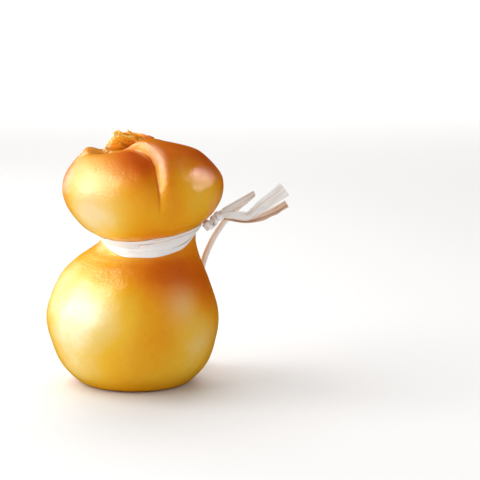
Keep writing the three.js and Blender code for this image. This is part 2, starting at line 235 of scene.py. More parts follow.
def loft(loops: Array, is_ring: bool = False, values: dict[str, Array] | None = None) -> Surface:
    """Surface through closed loops of points, one after the other.

    Args:
        loops: Array of loops by points in a loop by 3.
        is_ring: Whether the last loop joins the first. Otherwise each end gets a cap.
        values: Named values, each loops by points.

    Returns:
        The closed surface.
    """
    rows, sides = loops.shape[:2]
    number = np.arange(rows * sides).reshape(rows, sides)
    here = number if is_ring else number[:-1]
    there = np.roll(number, -1, axis=0) if is_ring else number[1:]
    corners = [here, np.roll(here, -1, axis=1), np.roll(there, -1, axis=1), there]
    quads = np.stack(corners, axis=-1).reshape(-1, 4)
    points = loops.reshape(-1, 3)
    named = {name: v.reshape(-1) for name, v in (values or {}).items()}
    triangles = np.zeros((0, 3), int)
    if not is_ring:
        hubs = loops[[0, -1]].mean(axis=1)
        first, last = number[0], number[-1]
        low = [np.full(sides, len(points)), np.roll(first, -1), first]
        high = [np.full(sides, len(points) + 1), last, np.roll(last, -1)]
        triangles = np.vstack([np.stack(low, axis=1), np.stack(high, axis=1)])
        points = np.vstack([points, hubs])
        ends = {name: v[[0, -1]].mean(axis=1) for name, v in (values or {}).items()}
        named = {name: np.concatenate([v, ends[name]]) for name, v in named.items()}
    return Surface(points, quads, triangles, named).facing_out()


def joined(surfaces: Sequence[Surface]) -> Surface:
    """Several surfaces as one, each with its own closed shell.

    Args:
        surfaces: The surfaces, all with the same named values.

    Returns:
        One surface.
    """
    starts = np.cumsum([0] + [len(s.points) for s in surfaces])
    names = surfaces[0].values
    return Surface(
        np.vstack([s.points for s in surfaces]),
        np.vstack([s.quads + start for s, start in zip(surfaces, starts)]),
        np.vstack([s.triangles + start for s, start in zip(surfaces, starts)]),
        {name: np.concatenate([s.values[name] for s in surfaces]) for name in names},
    )


def make_piece(
    name: str, surface: Surface, finish: bpy.types.Material, stands_for: Sequence[str]
) -> bpy.types.Object:
    """Put a surface into a mesh object that rides on the part and stands for its solids.

    Args:
        name: The piece's name.
        surface: Its shape, in millimetres.
        finish: Its material.
        stands_for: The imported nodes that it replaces.

    Returns:
        The object, at the origin.
    """
    mesh = bpy.data.meshes.new(name)
    faces = surface.quads.tolist() + surface.triangles.tolist()
    mesh.from_pydata((surface.points * MM).tolist(), [], faces)
    mesh.polygons.foreach_set("use_smooth", np.ones(len(faces), bool))
    for key, value in surface.values.items():
        attribute = mesh.attributes.new(key, "FLOAT", "POINT")
        attribute.data.foreach_set("value", value.astype(np.float32))
    mesh.materials.append(finish)
    mesh.validate()
    mesh.update()
    piece = bpy.data.objects.new(name, mesh)
    bpy.context.scene.collection.objects.link(piece)
    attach(piece, "root")
    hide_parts(*stands_for)
    count = 2 * len(surface.quads) + len(surface.triangles)
    log.info("%s: %d triangles, %.1f cm3", name, count, surface.volume() / 1000)
    return piece


# ---- Material tools ----


def linear(code: str) -> tuple[float, float, float, float]:
    """Linear colour of an sRGB hex code.

    A channel up to 0.04045 is divided by 12.92, and above that it is ((c + 0.055) / 1.055) ** 2.4.

    Args:
        code: The hex code.

    Returns:
        Red, green and blue, and an alpha of 1.
    """
    channels = [int(code.lstrip("#")[k : k + 2], 16) / 255 for k in (0, 2, 4)]
    turned = [c / 12.92 if c <= 0.04045 else ((c + 0.055) / 1.055) ** 2.4 for c in channels]
    return (turned[0], turned[1], turned[2], 1.0)


def add_node(
    tree: bpy.types.NodeTree, kind: str, inputs: dict[str | int, object] | None = None, **settings: object
) -> bpy.types.Node:
    """Add one node with its settings and links.

    Args:
        tree: The node tree.
        kind: The node's type.
        inputs: For each socket's name or number, a value or the output that feeds it.
        **settings: The node's own properties.

    Returns:
        The node.
    """
    made = tree.nodes.new(kind)
    for key, value in settings.items():
        setattr(made, key, value)
    for key, value in (inputs or {}).items():
        if isinstance(value, bpy.types.NodeSocket):
            tree.links.new(value, made.inputs[key])
        else:
            made.inputs[key].default_value = value
    return made


def add_ramp(
    tree: bpy.types.NodeTree, factor: bpy.types.NodeSocket, stops: dict[float, str]
) -> bpy.types.Node:
    """Add a colour ramp over some hex colours.

    Args:
        tree: The node tree.
        factor: What drives the ramp.
        stops: Hex colour at each place from 0 to 1.

    Returns:
        The ramp node.
    """
    made = add_node(tree, "ShaderNodeValToRGB", {0: factor})
    ramp = made.color_ramp
    while len(ramp.elements) < len(stops):
        ramp.elements.new(0.5)
    for element, (place, code) in zip(ramp.elements, sorted(stops.items())):
        element.position = place
        element.color = linear(code)
    return made


def new_material(name: str) -> tuple[bpy.types.Material, bpy.types.NodeTree]:
    """An empty node material.

    Args:
        name: The material's name.

    Returns:
        The material and its node tree.
    """
    material = bpy.data.materials.new(name)
    material.use_nodes = True
    material.node_tree.nodes.clear()
    return material, material.node_tree


def close_material(tree: bpy.types.NodeTree, shader: bpy.types.Node) -> None:
    """Send a shader to the material's output."""
    add_node(tree, "ShaderNodeOutputMaterial", {"Surface": shader.outputs[0]})


# ---- Finishes ----


@dataclass(frozen=True)
class SmokedRind:
    """Skin of stretched curd, dried and smoked over wood: satin, a little translucent and greasy.

    Smoke colours it from cream through amber to brown, and the same colours also carry painted highlights and
    painted shade. Its surface has the fine orange-peel pores of curd that set against warm water, which break
    up the edge of a highlight.
    """

    cream: str = "#e4dbac"
    wheat: str = "#e2c169"
    straw: str = "#e0b02e"
    amber: str = "#df9a08"
    russet: str = "#d77e06"
    brown: str = "#cb6303"
    umber: str = "#bc4d03"
    # colour of the painted sheen, which paints highlights and reflections over the smoke
    painted_sheen: str = "#deb988"
    gloss: str = "#fff8ea"  # fat in the skin warms what it mirrors
    roughness: float = 0.27
    pore_size: float = 1.3  # millimetres between pores
    pore_depth: float = 0.25  # millimetres
    mottle_size: float = 7.0  # millimetres across a patch of uneven smoke
    mottle_reach: float = 0.06  # smoke by which those patches differ
    speckle_reach: float = 0.025  # and by which the pores do

    def material(self) -> bpy.types.Material:
        """The finish as a material that reads the skin's smoke and painted light values and its painted
        sheen.

        Returns:
            The material.
        """
        material, tree = new_material("smoked_scamorza_rind")
        place = add_node(tree, "ShaderNodeTexCoord").outputs["Object"]
        smoke_and_painted_light = add_node(tree, "ShaderNodeAttribute", attribute_name="smoke_and_painted_light").outputs["Fac"]
        painted_sheen = add_node(tree, "ShaderNodeAttribute", attribute_name="painted_sheen").outputs["Fac"]
        mottle = self._noise(tree, place, self.mottle_size, 4.0)
        speckle = self._noise(tree, place, self.pore_size * 1.6, 2.0)
        uneven = self._sum(tree, smoke_and_painted_light, mottle, self.mottle_reach)
        uneven = self._sum(tree, uneven, speckle, self.speckle_reach)
        colours = {
            0.0: self.cream,
            0.13: self.wheat,
            0.26: self.straw,
            0.45: self.amber,
            0.62: self.russet,
            0.8: self.brown,
            1.0: self.umber,
        }
        colour = add_ramp(tree, uneven, colours).outputs["Color"]
        with_painted_sheen = add_node(tree, "ShaderNodeMix", {0: painted_sheen, 6: colour, 7: linear(self.painted_sheen)}, data_type="RGBA")
        pores = self._noise(tree, place, self.pore_size, 3.0)
        bump = {"Strength": 1.0, "Distance": self.pore_depth * MM, "Height": pores}
        shader = add_node(
            tree,
            "ShaderNodeBsdfPrincipled",
            {
                "Base Color": with_painted_sheen.outputs[2],
                "Roughness": self.roughness,
                "IOR": 1.5,
                "Specular Tint": linear(self.gloss),
                "Subsurface Weight": 0.25,
                "Subsurface Radius": (1.0, 0.45, 0.15),
                "Subsurface Scale": 2.5 * MM,
                "Normal": add_node(tree, "ShaderNodeBump", bump).outputs[0],
            },
        )
        close_material(tree, shader)
        return material

    @staticmethod
    def _noise(
        tree: bpy.types.NodeTree, place: bpy.types.NodeSocket, size: float, detail: float
    ) -> bpy.types.NodeSocket:
        """Noise whose grains are size millimetres across."""
        inputs = {"Vector": place, "Scale": 1 / (size * MM), "Detail": detail, "Roughness": 0.55}
        return add_node(tree, "ShaderNodeTexNoise", inputs).outputs[0]

    @staticmethod
    def _sum(
        tree: bpy.types.NodeTree, base: bpy.types.NodeSocket, noise: bpy.types.NodeSocket, reach: float
    ) -> bpy.types.NodeSocket:
        """Base plus twice the reach times the noise's distance from its middle.

        Args:
            tree: The node tree.
            base: What the noise is added to.
            noise: The noise, from 0 to 1.
            reach: How far the noise moves the base up or down.

        Returns:
            The sum.
        """
        shift = add_node(tree, "ShaderNodeMath", {0: noise, 1: 0.5}, operation="SUBTRACT").outputs[0]
        inputs = {0: shift, 1: 2 * reach, 2: base}
        return add_node(tree, "ShaderNodeMath", inputs, operation="MULTIPLY_ADD").outputs[0]


@dataclass(frozen=True)
class TornCurd:
    """Pulled curd where the cheese was torn off: fibrous, moist and translucent, gold at the tips. Its colour
    darkens towards the roots partly as painted shade down in the crater, and its pale tips partly carry
    painted highlights.
    """

    # the dark roots are partly painted shade down in the crater
    root: str = "#a85202"
    middle: str = "#e08a04"
    tip: str = "#f5b02a"
    torn: str = "#f3d6a4"  # where it was pulled off last and the smoke hardly reached, and a painted highlight on the tips
    fibre_size: float = 0.7  # millimetres between fibres
    fibre_depth: float = 0.15  # millimetres
    patchiness: float = 0.9  # how far the noise moves the colour along a strip of curd
    full_place: float = 0.7  # place on the ramp of such a strip's tip

    def material(self) -> bpy.types.Material:
        """The finish as a material that reads the place along each strip of curd.

        Returns:
            The material.
        """
        material, tree = new_material("torn_scamorza_curd")
        along = add_node(tree, "ShaderNodeAttribute", attribute_name="along").outputs["Fac"]
        place = add_node(tree, "ShaderNodeTexCoord").outputs["Object"]
        inputs = {"Vector": place, "Scale": 1 / (self.fibre_size * 2 * MM), "Detail": 4.0}
        noise = add_node(tree, "ShaderNodeTexNoise", inputs).outputs[0]
        shift = add_node(tree, "ShaderNodeMath", {0: noise, 1: 0.5}, operation="SUBTRACT").outputs[0]
        inputs = {0: shift, 1: self.patchiness, 2: along}
        uneven = add_node(tree, "ShaderNodeMath", inputs, operation="MULTIPLY_ADD").outputs[0]
        drawn_in = add_node(tree, "ShaderNodeMath", {0: uneven, 1: self.full_place}, operation="MULTIPLY")
        stops = {0.07: self.root, 0.38: self.middle, 0.66: self.tip, 0.92: self.torn}
        colour = add_ramp(tree, drawn_in.outputs[0], stops).outputs["Color"]
        bump = {"Strength": 0.6, "Distance": self.fibre_depth * MM, "Height": noise}
        shader = add_node(
            tree,
            "ShaderNodeBsdfPrincipled",
            {
                "Base Color": colour,
                "Roughness": 0.5,
                "IOR": 1.4,
                "Subsurface Weight": 0.5,
                "Subsurface Radius": (1.0, 0.5, 0.15),
                "Subsurface Scale": 1.5 * MM,
                "Normal": add_node(tree, "ShaderNodeBump", bump).outputs[0],
            },
        )
        close_material(tree, shader)
        return material


@dataclass(frozen=True)
class BleachedRaffia:
    """Raffia: a dried palm leaf split lengthwise and bleached, matt and papery, with fine fibres.

    Bleaching leaves it almost white, with pinkish-tan streaks along the fibres where it took less.
    """

    white: str = "#e6e4e2"
    blush: str = "#d2b096"
    bark: str = "#7a4f30"
    fibre_width: float = 0.35  # millimetres; real fibres are finer, but then they don't show
    fibre_depth: float = 0.08  # millimetres
    fine_share: float = 0.45  # weight of the fine streaks beside the broad ones
    streak_level: float = 0.93  # what both come to where the stain is just the strip's tan
    streak_contrast: float = 2.2

    def material(self) -> bpy.types.Material:
        """The finish as a material that reads the strip's across, along and tan values, where the tan also
        carries painted shade.

        Returns:
            The material.
        """
        material, tree = new_material("bleached_raffia")
        across = add_node(tree, "ShaderNodeAttribute", attribute_name="across").outputs["Fac"]
        along = add_node(tree, "ShaderNodeAttribute", attribute_name="along").outputs["Fac"]
        tan = add_node(tree, "ShaderNodeAttribute", attribute_name="tan").outputs["Fac"]
        place = add_node(tree, "ShaderNodeCombineXYZ", {0: across, 1: along}).outputs[0]
        fine = self._streaks(tree, place, self.fibre_width, 40)
        broad = self._streaks(tree, place, self.fibre_width * 4, 25)
        inputs = {0: fine, 1: self.fine_share, 2: broad}
        both = add_node(tree, "ShaderNodeMath", inputs, operation="MULTIPLY_ADD").outputs[0]
        inputs = {0: both, 1: self.streak_level}
        streak = add_node(tree, "ShaderNodeMath", inputs, operation="SUBTRACT").outputs[0]
        inputs = {0: streak, 1: self.streak_contrast, 2: tan}
        stain_and_shade = add_node(tree, "ShaderNodeMath", inputs, operation="MULTIPLY_ADD").outputs[0]
        colour = add_ramp(tree, stain_and_shade, {0.0: self.white, 0.45: self.blush, 1.0: self.bark}).outputs["Color"]
        bump = {"Strength": 0.5, "Distance": self.fibre_depth * MM, "Height": fine}
        shader = add_node(
            tree,
            "ShaderNodeBsdfPrincipled",
            {
                "Base Color": colour,
                "Roughness": 0.62,
                "Specular IOR Level": 0.35,
                "Subsurface Weight": 0.15,
                "Subsurface Radius": (1.0, 0.9, 0.8),
                "Subsurface Scale": 0.6 * MM,
                "Normal": add_node(tree, "ShaderNodeBump", bump).outputs[0],
            },
        )
        close_material(tree, shader)
        return material

    @staticmethod
    def _streaks(
        tree: bpy.types.NodeTree, place: bpy.types.NodeSocket, width: float, stretch: float
    ) -> bpy.types.NodeSocket:
        """Noise that is drawn out along the strip.

        Args:
            tree: The node tree.
            place: Place across the strip and along it.
            width: Width of a streak in millimetres.
            stretch: How many times as long as wide it is.

        Returns:
            The noise.
        """
        scale = {"Vector": place, "Scale": (1 / width, 1 / (width * stretch), 1.0)}
        drawn = add_node(tree, "ShaderNodeMapping", scale).outputs[0]
        inputs = {"Vector": drawn, "Scale": 1.0, "Detail": 3.0, "Roughness": 0.6}
        return add_node(tree, "ShaderNodeTexNoise", inputs).outputs[0]


# ---- Studio ----


@dataclass(frozen=True)
class Softbox:
    """A square light panel: where it hangs, its side, how bright its face is, and what it's hung for."""

    name: str
    at: tuple[float, float, float]  # metres
    side: float  # metres
    radiance: float
    use: Use = Use.BOTH
    spread: float = 180.0  # degrees over which a grid lets its light out
    aim: tuple[float, float, float] = (0.0, 0.0, 0.055)  # metres

    def hang(self) -> None:
        """Light the panel and turn it to its aim.

        Its power is pi times its area times its radiance, times 1 - a / tan a under a grid that lets
        light out up to the angle a from its axis.
        """
        lamp = bpy.data.lights.new(self.name, "AREA")
        lamp.shape = "SQUARE"
        lamp.size = self.side
        lamp.spread = math.radians(self.spread)
        a = lamp.spread / 2
        lamp.energy = math.pi * self.side**2 * self.radiance * (1 - a / math.tan(a))
        holder = bpy.data.objects.new(self.name, lamp)
        holder.location = self.at
        holder.visible_glossy = self.use is not Use.FILL
        holder.visible_diffuse = self.use is not Use.SHINE
        holder.rotation_euler = (Vector(self.aim) - Vector(self.at)).to_track_quat("-Z", "Y").to_euler()
        bpy.context.scene.collection.objects.link(holder)


@dataclass
class Studio:
    """Camera, soft light and a plain white floor."""

    distance: float = 0.6955  # metres from the camera to the origin
    elevation: float = math.radians(14.1)
    turn_right: float = math.radians(3.98)  # of the camera's axis, from the origin's direction
    dip: float = math.radians(8.79)  # of the camera's axis, below level
    roll: float = math.radians(0.63)  # of the camera round its axis
    focus_pixels: float = 1512  # the lens's length in pixels of the picture
    floor_radius: float = 2.2  # metres; its rim is out of sight against the white behind
    floor_corners: int = 64
    room_front: float = 0.08  # radiance of the dim room that the camera stands in
    room_back: float = 1.15  # of the lit white cove behind
    room_top: float = 0.4  # of the ceiling
    cove_begins: tuple[float, float] = (0.5, 0.85)  # how far to the back a way points where it does
    ceiling_begins: tuple[float, float] = (0.3, 0.7)  # and how far up
    softboxes: tuple[Softbox, ...] = (
        Softbox("left_softbox", (-0.82, -0.14, 0.37), 0.9, 2.95, Use.FILL),
        Softbox("left_shine", (-0.238, -0.077, 0.185), 0.28, 9.0, Use.SHINE),
        Softbox("back_left_shine", (-0.22, 0.138, 0.19), 0.24, 1.5, Use.SHINE),
        Softbox("low_left_fill", (-0.42, -0.25, 0.07), 0.13, 6.6, Use.FILL),
        Softbox("back_left_panel", (-0.62, 0.62, 0.22), 0.5, 2.0),
        Softbox("low_front_fill", (-0.08, -0.45, 0.04), 0.12, 3.2, Use.FILL),
        Softbox("top_left_fill", (-0.45, 0.17, 0.72), 0.4, 4.4, Use.FILL),
        Softbox("right_shine", (0.266, 0.06, 0.213), 0.03, 280.0, Use.SHINE, 8, (0.033, -0.017, 0.106)),
        Softbox("low_right_shine", (0.302, -0.03, 0.12), 0.033, 180.0, Use.SHINE, 7, (0.03, -0.025, 0.101)),
        Softbox("right_fill", (0.9, -0.3, 0.3), 0.5, 2.0, Use.FILL),
        Softbox("front_fill", (0.4, -1.3, 0.4), 1.3, 1.0, Use.FILL),
        Softbox("cove_light", (0.0, 2.2, 1.7), 2.6, 2.9, Use.FILL),
    )

    def place_camera(self) -> bpy.types.Object:
        """Put the camera in front, above level and turned so that the cheese stands to the left.

        Returns:
            The camera.
        """
        lens = bpy.data.cameras.new("camera")
        lens.sensor_width = 36
        lens.lens = lens.sensor_width * self.focus_pixels / PHOTO_SIDE
        lens.clip_start = 0.01
        camera = bpy.data.objects.new("camera", lens)
        e = self.elevation
        camera.location = Vector((0, -math.cos(e), math.sin(e))) * self.distance
        aim = Euler((math.pi / 2 - self.dip, 0, -self.turn_right)).to_quaternion()
        camera.rotation_euler = (aim @ Quaternion((0, 0, 1), self.roll)).to_euler()
        bpy.context.scene.collection.objects.link(camera)
        bpy.context.scene.camera = camera
        return camera

    def light(self) -> None:
        """Hang the softboxes in a room that is dim in front and white behind, and isn't mirrored."""
        for softbox in self.softboxes:
            softbox.hang()
        world = bpy.data.worlds.new("white_room")
        world.use_nodes = True
        tree = world.node_tree
        way = add_node(tree, "ShaderNodeTexCoord").outputs["Generated"]
        parts = add_node(tree, "ShaderNodeSeparateXYZ", {0: way}).outputs
        low, high = self.cove_begins
        sides = {"Value": parts["Y"], 1: low, 2: high, 3: self.room_front, 4: self.room_back}
        level = add_node(tree, "ShaderNodeMapRange", sides, interpolation_type="SMOOTHSTEP").outputs[0]
        low, high = self.ceiling_begins
        top = {"Value": parts["Z"], 1: low, 2: high, 3: level, 4: self.room_top}
        light = add_node(tree, "ShaderNodeMapRange", top, interpolation_type="SMOOTHSTEP").outputs[0]
        background = tree.nodes["Background"]
        background.inputs["Color"].default_value = linear("#ffffff")
        tree.links.new(light, background.inputs["Strength"])
        world.cycles_visibility.glossy = False
        bpy.context.scene.world = world
        bpy.context.scene.view_settings.view_transform = "Standard"

    def lay_floor(self) -> None:
        """Lay a round white floor at the height that the cheese rests on."""
        angle = np.linspace(0, 2 * math.pi, self.floor_corners, endpoint=False)
        rim = np.stack([np.cos(angle), np.sin(angle), 0 * angle], axis=1) * self.floor_radius
        mesh = bpy.data.meshes.new("floor")
        mesh.from_pydata(rim.tolist(), [], [list(range(self.floor_corners))])
        material, tree = new_material("matt_white_board")
        inputs = {"Base Color": linear("#e2e1e0"), "Roughness": 0.9, "Specular IOR Level": 0.1}
        close_material(tree, add_node(tree, "ShaderNodeBsdfPrincipled", inputs))
        mesh.materials.append(material)
        floor = bpy.data.objects.new("floor", mesh)
        floor.visible_glossy = False
        bpy.context.scene.collection.objects.link(floor)


# ---- The cheese ----


@dataclass(frozen=True)
class Section:
    """A level section of the cheese: its height, its radius and how far its middle stands off."""

    height: float
    radius: float
    shift: float


@dataclass(frozen=True)
class Dent:
    """A soft hollow in the head, or a mound where its depth is negative.

    Its place (u, v) is the angle down from the vertical at the head's centre, in radians, times the
    cosine and sine of its bearing.
    """

    u: float
    v: float
    across: float
    along: float
    depth: float

    def relief(self, u: Array, v: Array) -> Array:
        """Minus the depth times a bell of the distance, counted in the dent's own half sizes."""
        return -self.depth * bell(np.hypot((u - self.u) / self.across, (v - self.v) / self.along))


@dataclass(frozen=True)
class Fold:
    """The fold that starts at the notch on the left and turns down the front of the head."""

    line: tuple[tuple[float, float], ...] = (
        (-0.9, -0.4),
        (-0.6, -0.52),
        (-0.15, -0.64),
        (0.15, -1.02),
        (0.28, -1.45),
        (0.4, -1.9),
    )
    steps: int = 48
    skin_per_radian: float = 25.0
    fade: float = 0.34  # share of the fold, at its lower end, over which it dies away
    drop: float = 3.4  # how far the lower lip lies under the fold at its start
    ridge: float = 1.9  # how far the folded edge stands proud
    edge_above: float = 2.0  # width of the folded edge's flank on the top of the head
    edge_front: float = 5.0  # and where it runs down the front
    lip_reach: float = 9.0  # width over which the lower lip rolls down into the crease
    ridge_reach: float = 14.0  # width over which the folded edge eases into the lobe
    begin: tuple[float, float] = (0.2, 0.45)  # shares of the fold between which the edge comes up
    unsmoked_lit_edge: float = -0.5  # less smoke on the foot of the folded edge, painted paler also as a highlight
    line_place: float = 0.4  # middle of that pale line, from the crease
    line_width: float = 1.4
    crease_shade: float = 0.4  # painted shade in the crease itself
    crease_width: float = 0.7
    browned: float = 0.12  # smoke that gathered on the lower lip
    browned_place: float = -5.0  # its middle, from the crease
    browned_width: float = 6.0
    crest_highlight: float = 0.4  # painted highlight on the crest of the folded edge
    crest_highlight_place: float = 3.6
    crest_highlight_width: float = 1.8

    def nearest(self, u: Array, v: Array) -> tuple[Array, Array]:
        """Nearest place on the fold's line.

        Args:
            u: Places on the head, first coordinate.
            v: Places on the head, second coordinate.

        Returns:
            How far along the line each is, from 0 to 1, and its signed distance in millimetres, which
            is positive on the side of the upper lobe.
        """
        line = line_through(self.line, self.steps + 1)
        run = np.diff(line, axis=0)
        best = np.full(u.shape, np.inf)
        along = np.zeros(u.shape)
        side = np.ones(u.shape)
        for i, (start, step) in enumerate(zip(line, run)):
            du, dv = u - start[0], v - start[1]
            f = np.clip((du * step[0] + dv * step[1]) / (step @ step), 0, 1)
            gap = np.hypot(du - f * step[0], dv - f * step[1])
            closer = gap < best
            best = np.where(closer, gap, best)
            along = np.where(closer, (i + f) / self.steps, along)
            side = np.where(closer, np.where(step[0] * dv - step[1] * du > 0, 1.0, -1.0), side)
        return along, side * best * self.skin_per_radian

    def relief(self, u: Array, v: Array) -> Array:
        """The lower lip rolls down into a sharp crease, and the folded edge stands up round beside it.

        The lip falls with the square of the nearness to the crease. The edge rises as a quarter of a
        sine and eases off as a bell. Both fade towards the fold's lower end.

        Args:
            u: Places on the head, first coordinate.
            v: Places on the head, second coordinate.

        Returns:
            How far the skin moves outwards.
        """
        along, gap = self.nearest(u, v)
        strength = smooth_step(1 - along, 0, self.fade)
        edge = mix(self.edge_above, self.edge_front, smooth_step(along, 0.2, 0.6))
        nearness = 1 - np.minimum(-gap / self.lip_reach, 1)
        rise = np.sin(0.5 * math.pi * np.clip(gap / edge, 0, 1))
        proud = self.ridge * smooth_step(along, *self.begin)
        beyond = proud * bell(np.maximum(gap - edge, 0) / self.ridge_reach)
        upper = -self.drop + (self.drop + beyond) * rise
        return strength * np.where(gap < 0, -self.drop * nearness**2, upper)

    def smoke_and_painted_light(self, u: Array, v: Array) -> Array:
        """Smoke and painted light that follow the fold.

        It is a pale bell along the foot of the folded edge, which is less smoke and a painted highlight, a
        dark one in the crease below it, which is painted shade, and a brown one on the lip.

        Args:
            u: Places on the head, first coordinate.
            v: Places on the head, second coordinate.

        Returns:
            Smoke and painted light to add, which is negative where the fold is pale.
        """
        along, gap = self.nearest(u, v)
        pale = bell((gap - self.line_place) / self.line_width) * smooth_step(along, *self.begin)
        brown = bell((gap - self.browned_place) / self.browned_width)
        brown *= smooth_step(along, 0.1, 0.35) * (1 - smooth_step(along, 0.6, 0.85))
        crease = bell((gap + 0.2) / self.crease_width) * smooth_step(along, 0.45, 0.6)
        lines = self.unsmoked_lit_edge * pale * (1 - smooth_step(along, 0.65, 0.95))
        lines += self.crease_shade * crease * (1 - smooth_step(along, 0.8, 1))
        return lines + self.browned * brown

    def painted_sheen(self, u: Array, v: Array) -> Array:
        """Painted highlight that follows the fold: a bell on the crest of the folded edge, strongest half
        way.

        Args:
            u: Places on the head, first coordinate.
            v: Places on the head, second coordinate.

        Returns:
            Painted highlight to add.
        """
        along, gap = self.nearest(u, v)
        crest = bell((gap - self.crest_highlight_place) / self.crest_highlight_width)
        return self.crest_highlight * crest * smooth_step(along, 0.4, 0.52) * (1 - smooth_step(along, 0.55, 0.8))


@dataclass(frozen=True)
class Pleats:
    """Pleats that run down the back of the head, where the skin was gathered."""

    bearings: tuple[float, ...] = (62.0, 98.0, 137.0, 172.0)  # degrees
    # radians from the top of the head: where they begin, are deepest, ease off and end
    reach: tuple[float, float, float, float] = (0.35, 0.7, 1.15, 1.7)
    depth: float = 1.3
    width: float = 0.075  # half width, in radians

    def relief(self, u: Array, v: Array) -> Array:
        """Bell-shaped grooves, one at each bearing, that deepen and then die away outwards.

        Args:
            u: Places on the head, first coordinate.
            v: Places on the head, second coordinate.

        Returns:
            How far the skin moves outwards, which is negative in a groove.
        """
        out = np.hypot(u, v)
        begin, full, easing, end = self.reach
        share = smooth_step(out, begin, full) * (1 - smooth_step(out, easing, end))
        bearing = np.arctan2(v, u)
        grooves = [bell((bearing - math.radians(b)) * out / self.width) for b in self.bearings]
        return -self.depth * share * sum(grooves)


@dataclass
class Skin:
    """The cheese's skin as a function of a place up its side and an angle round it."""

    sections: tuple[Section, ...] = (
        Section(0, 21.5, 0),
        Section(2.5, 27, -0.4),
        Section(12, 34.4, -0.7),
        Section(30, 38.8, -1.3),
        Section(46.6, 34.2, -1.2),
        Section(57, 27.8, 0.7),
        Section(63.6, 22.5, 4.2),
        Section(70.2, 22, 6.3),
        Section(76.7, 30.1, 4.7),
        Section(85, 35.4, 3.2),
        Section(94.3, 35, 3.2),
        Section(103.9, 27.3, 2.8),
        Section(107.7, 17.5, 3.7),
        Section(110, 0, 4.8),
    )
    foot_lead: float = 6.0  # the skin leaves the flat spot almost level, as if from this far inside it
    neck_section: int = 7
    neck_rise: float = 0.12  # slope of the waist, up towards the knot
    neck_lean: float = 0.19  # slope of the waist, up towards the back
    neck_reach: float = 1.8  # how many sections the slope takes to fade
    back_depth: float = 0.96
    head_centre: tuple[float, float, float] = (3.5, 0.0, 90.0)
    fold: Fold = field(default_factory=Fold)
    pleats: Pleats = field(default_factory=Pleats)
    dents: tuple[Dent, ...] = (
        Dent(-0.4, 0.05, 0.36, 0.36, 6.5),  # the crater that the stub stands in
        Dent(-0.5, 0.55, 0.42, 0.45, 4.2),
        Dent(-0.8, -0.13, 0.08, 0.25, 6.5),  # the notch on the left
        Dent(-0.94, -0.22, 0.13, 0.26, -2.7),  # the mound beside it
        Dent(0.08, -0.44, 0.36, 0.3, -1.3),  # the crest of the upper lobe
        Dent(-0.5, -0.3, 0.26, 0.22, 3.0),  # the crater's front edge, behind the lower lip
    )
    lump_height: float = 0.18  # slow unevenness of the whole skin
    lump_size: float = 24.0
    ripple_height: float = 0.04  # finer unevenness
    ripple_size: float = 7.0
    collar_height: float = 0.5  # the roll that the tie squeezes up just under it
    collar_place: float = 5.72  # in sections
    collar_width: float = 0.2
    collar_bearing: float = math.radians(-125)  # where it is highest

    @property
    def last(self) -> int:
        """Number of the crown's section."""
        return len(self.sections) - 1

    def smooth(self, t: Array, angle: Array) -> Array:
        """Point of the smooth skin.

        Height, radius and shift are read from the sections, and round the waist the level circle is
        tipped, up towards the knot and towards the back.

        Args:
            t: Place up the side, in sections.
            angle: Angle round the axis, from +X towards the back.

        Returns:
            The points.
        """
        foot, crown = self.sections[0], self.sections[-2]
        r = spline([s.radius for s in self.sections], t, foot.radius - self.foot_lead, -crown.radius)
        z = spline([s.height for s in self.sections], t, 0, crown.height)
        middle = spline([s.shift for s in self.sections], t, 0, crown.shift)
        fade = bell((t - self.neck_section) / self.neck_reach)
        across = r * np.cos(angle)
        deep = r * np.sin(angle)
        tilt = fade * (self.neck_rise * across + self.neck_lean * deep)
        return np.stack(np.broadcast_arrays(middle + across, deep * self.back_depth, z + tilt), axis=-1)

    def head_place(self, points: Array) -> tuple[Array, Array]:
        """Place (u, v) on the head of each point, as Dent tells it.

        Args:
            points: The points.

        Returns:
            The first coordinates and the second ones.
        """
        out = unit(points - np.array(self.head_centre))
        down = np.arccos(np.clip(out[..., 2], -1, 1))
        bearing = np.arctan2(out[..., 1], out[..., 0])
        return down * np.cos(bearing), down * np.sin(bearing)

    def point(self, t: Array, angle: Array) -> Array:
        """Point of the real skin.

        The head's folds move it along the line from the head's centre, and the collar and the fine
        unevenness along the line from the axis.

        Args:
            t: Place up the side, in sections.
            angle: Angle round the axis.

        Returns:
            The points.
        """
        t, angle = np.broadcast_arrays(np.asarray(t, float), np.asarray(angle, float))
        p = self.smooth(t, angle)
        u, v = self.head_place(p)
        relief = self.fold.relief(u, v) + self.pleats.relief(u, v)
        relief += sum(dent.relief(u, v) for dent in self.dents)
        relief = np.where(t > self.neck_section, relief, 0)
        head = p + unit(p - np.array(self.head_centre)) * relief[..., None]
        fine = self.lump_height * waves(p, self.lump_size, 3)
        fine += self.ripple_height * waves(p, self.ripple_size, 5)
        fine *= smooth_step(t, 0.3, 1.6) * (1 - smooth_step(t, self.last - 0.6, self.last - 0.05))
        front = 0.5 + 0.5 * np.cos(angle - self.collar_bearing)
        collar = self.collar_height * bell((t - self.collar_place) / self.collar_width) * front
        out = np.stack([np.cos(angle), np.sin(angle), np.zeros_like(angle)], axis=-1)
        return head + out * (fine + collar)[..., None]

    def normal(self, t: Array, angle: Array) -> Array:
        """Outward direction: the cross product of two small steps along the skin.

        Args:
            t: Place up the side, in sections.
            angle: Angle round the axis.

        Returns:
            One way of unit length for each place.
        """
        step = 0.02
        round_it = self.point(t, angle + step) - self.point(t, angle - step)
        up_it = self.point(t + step, angle) - self.point(t - step, angle)
        return unit(np.cross(round_it, up_it))

    def lifted(self, t: Array, angle: Array, lift: Array) -> Array:
        """Point that stands off the skin by lift."""
        return self.point(t, angle) + self.normal(t, angle) * np.asarray(lift)[..., None]


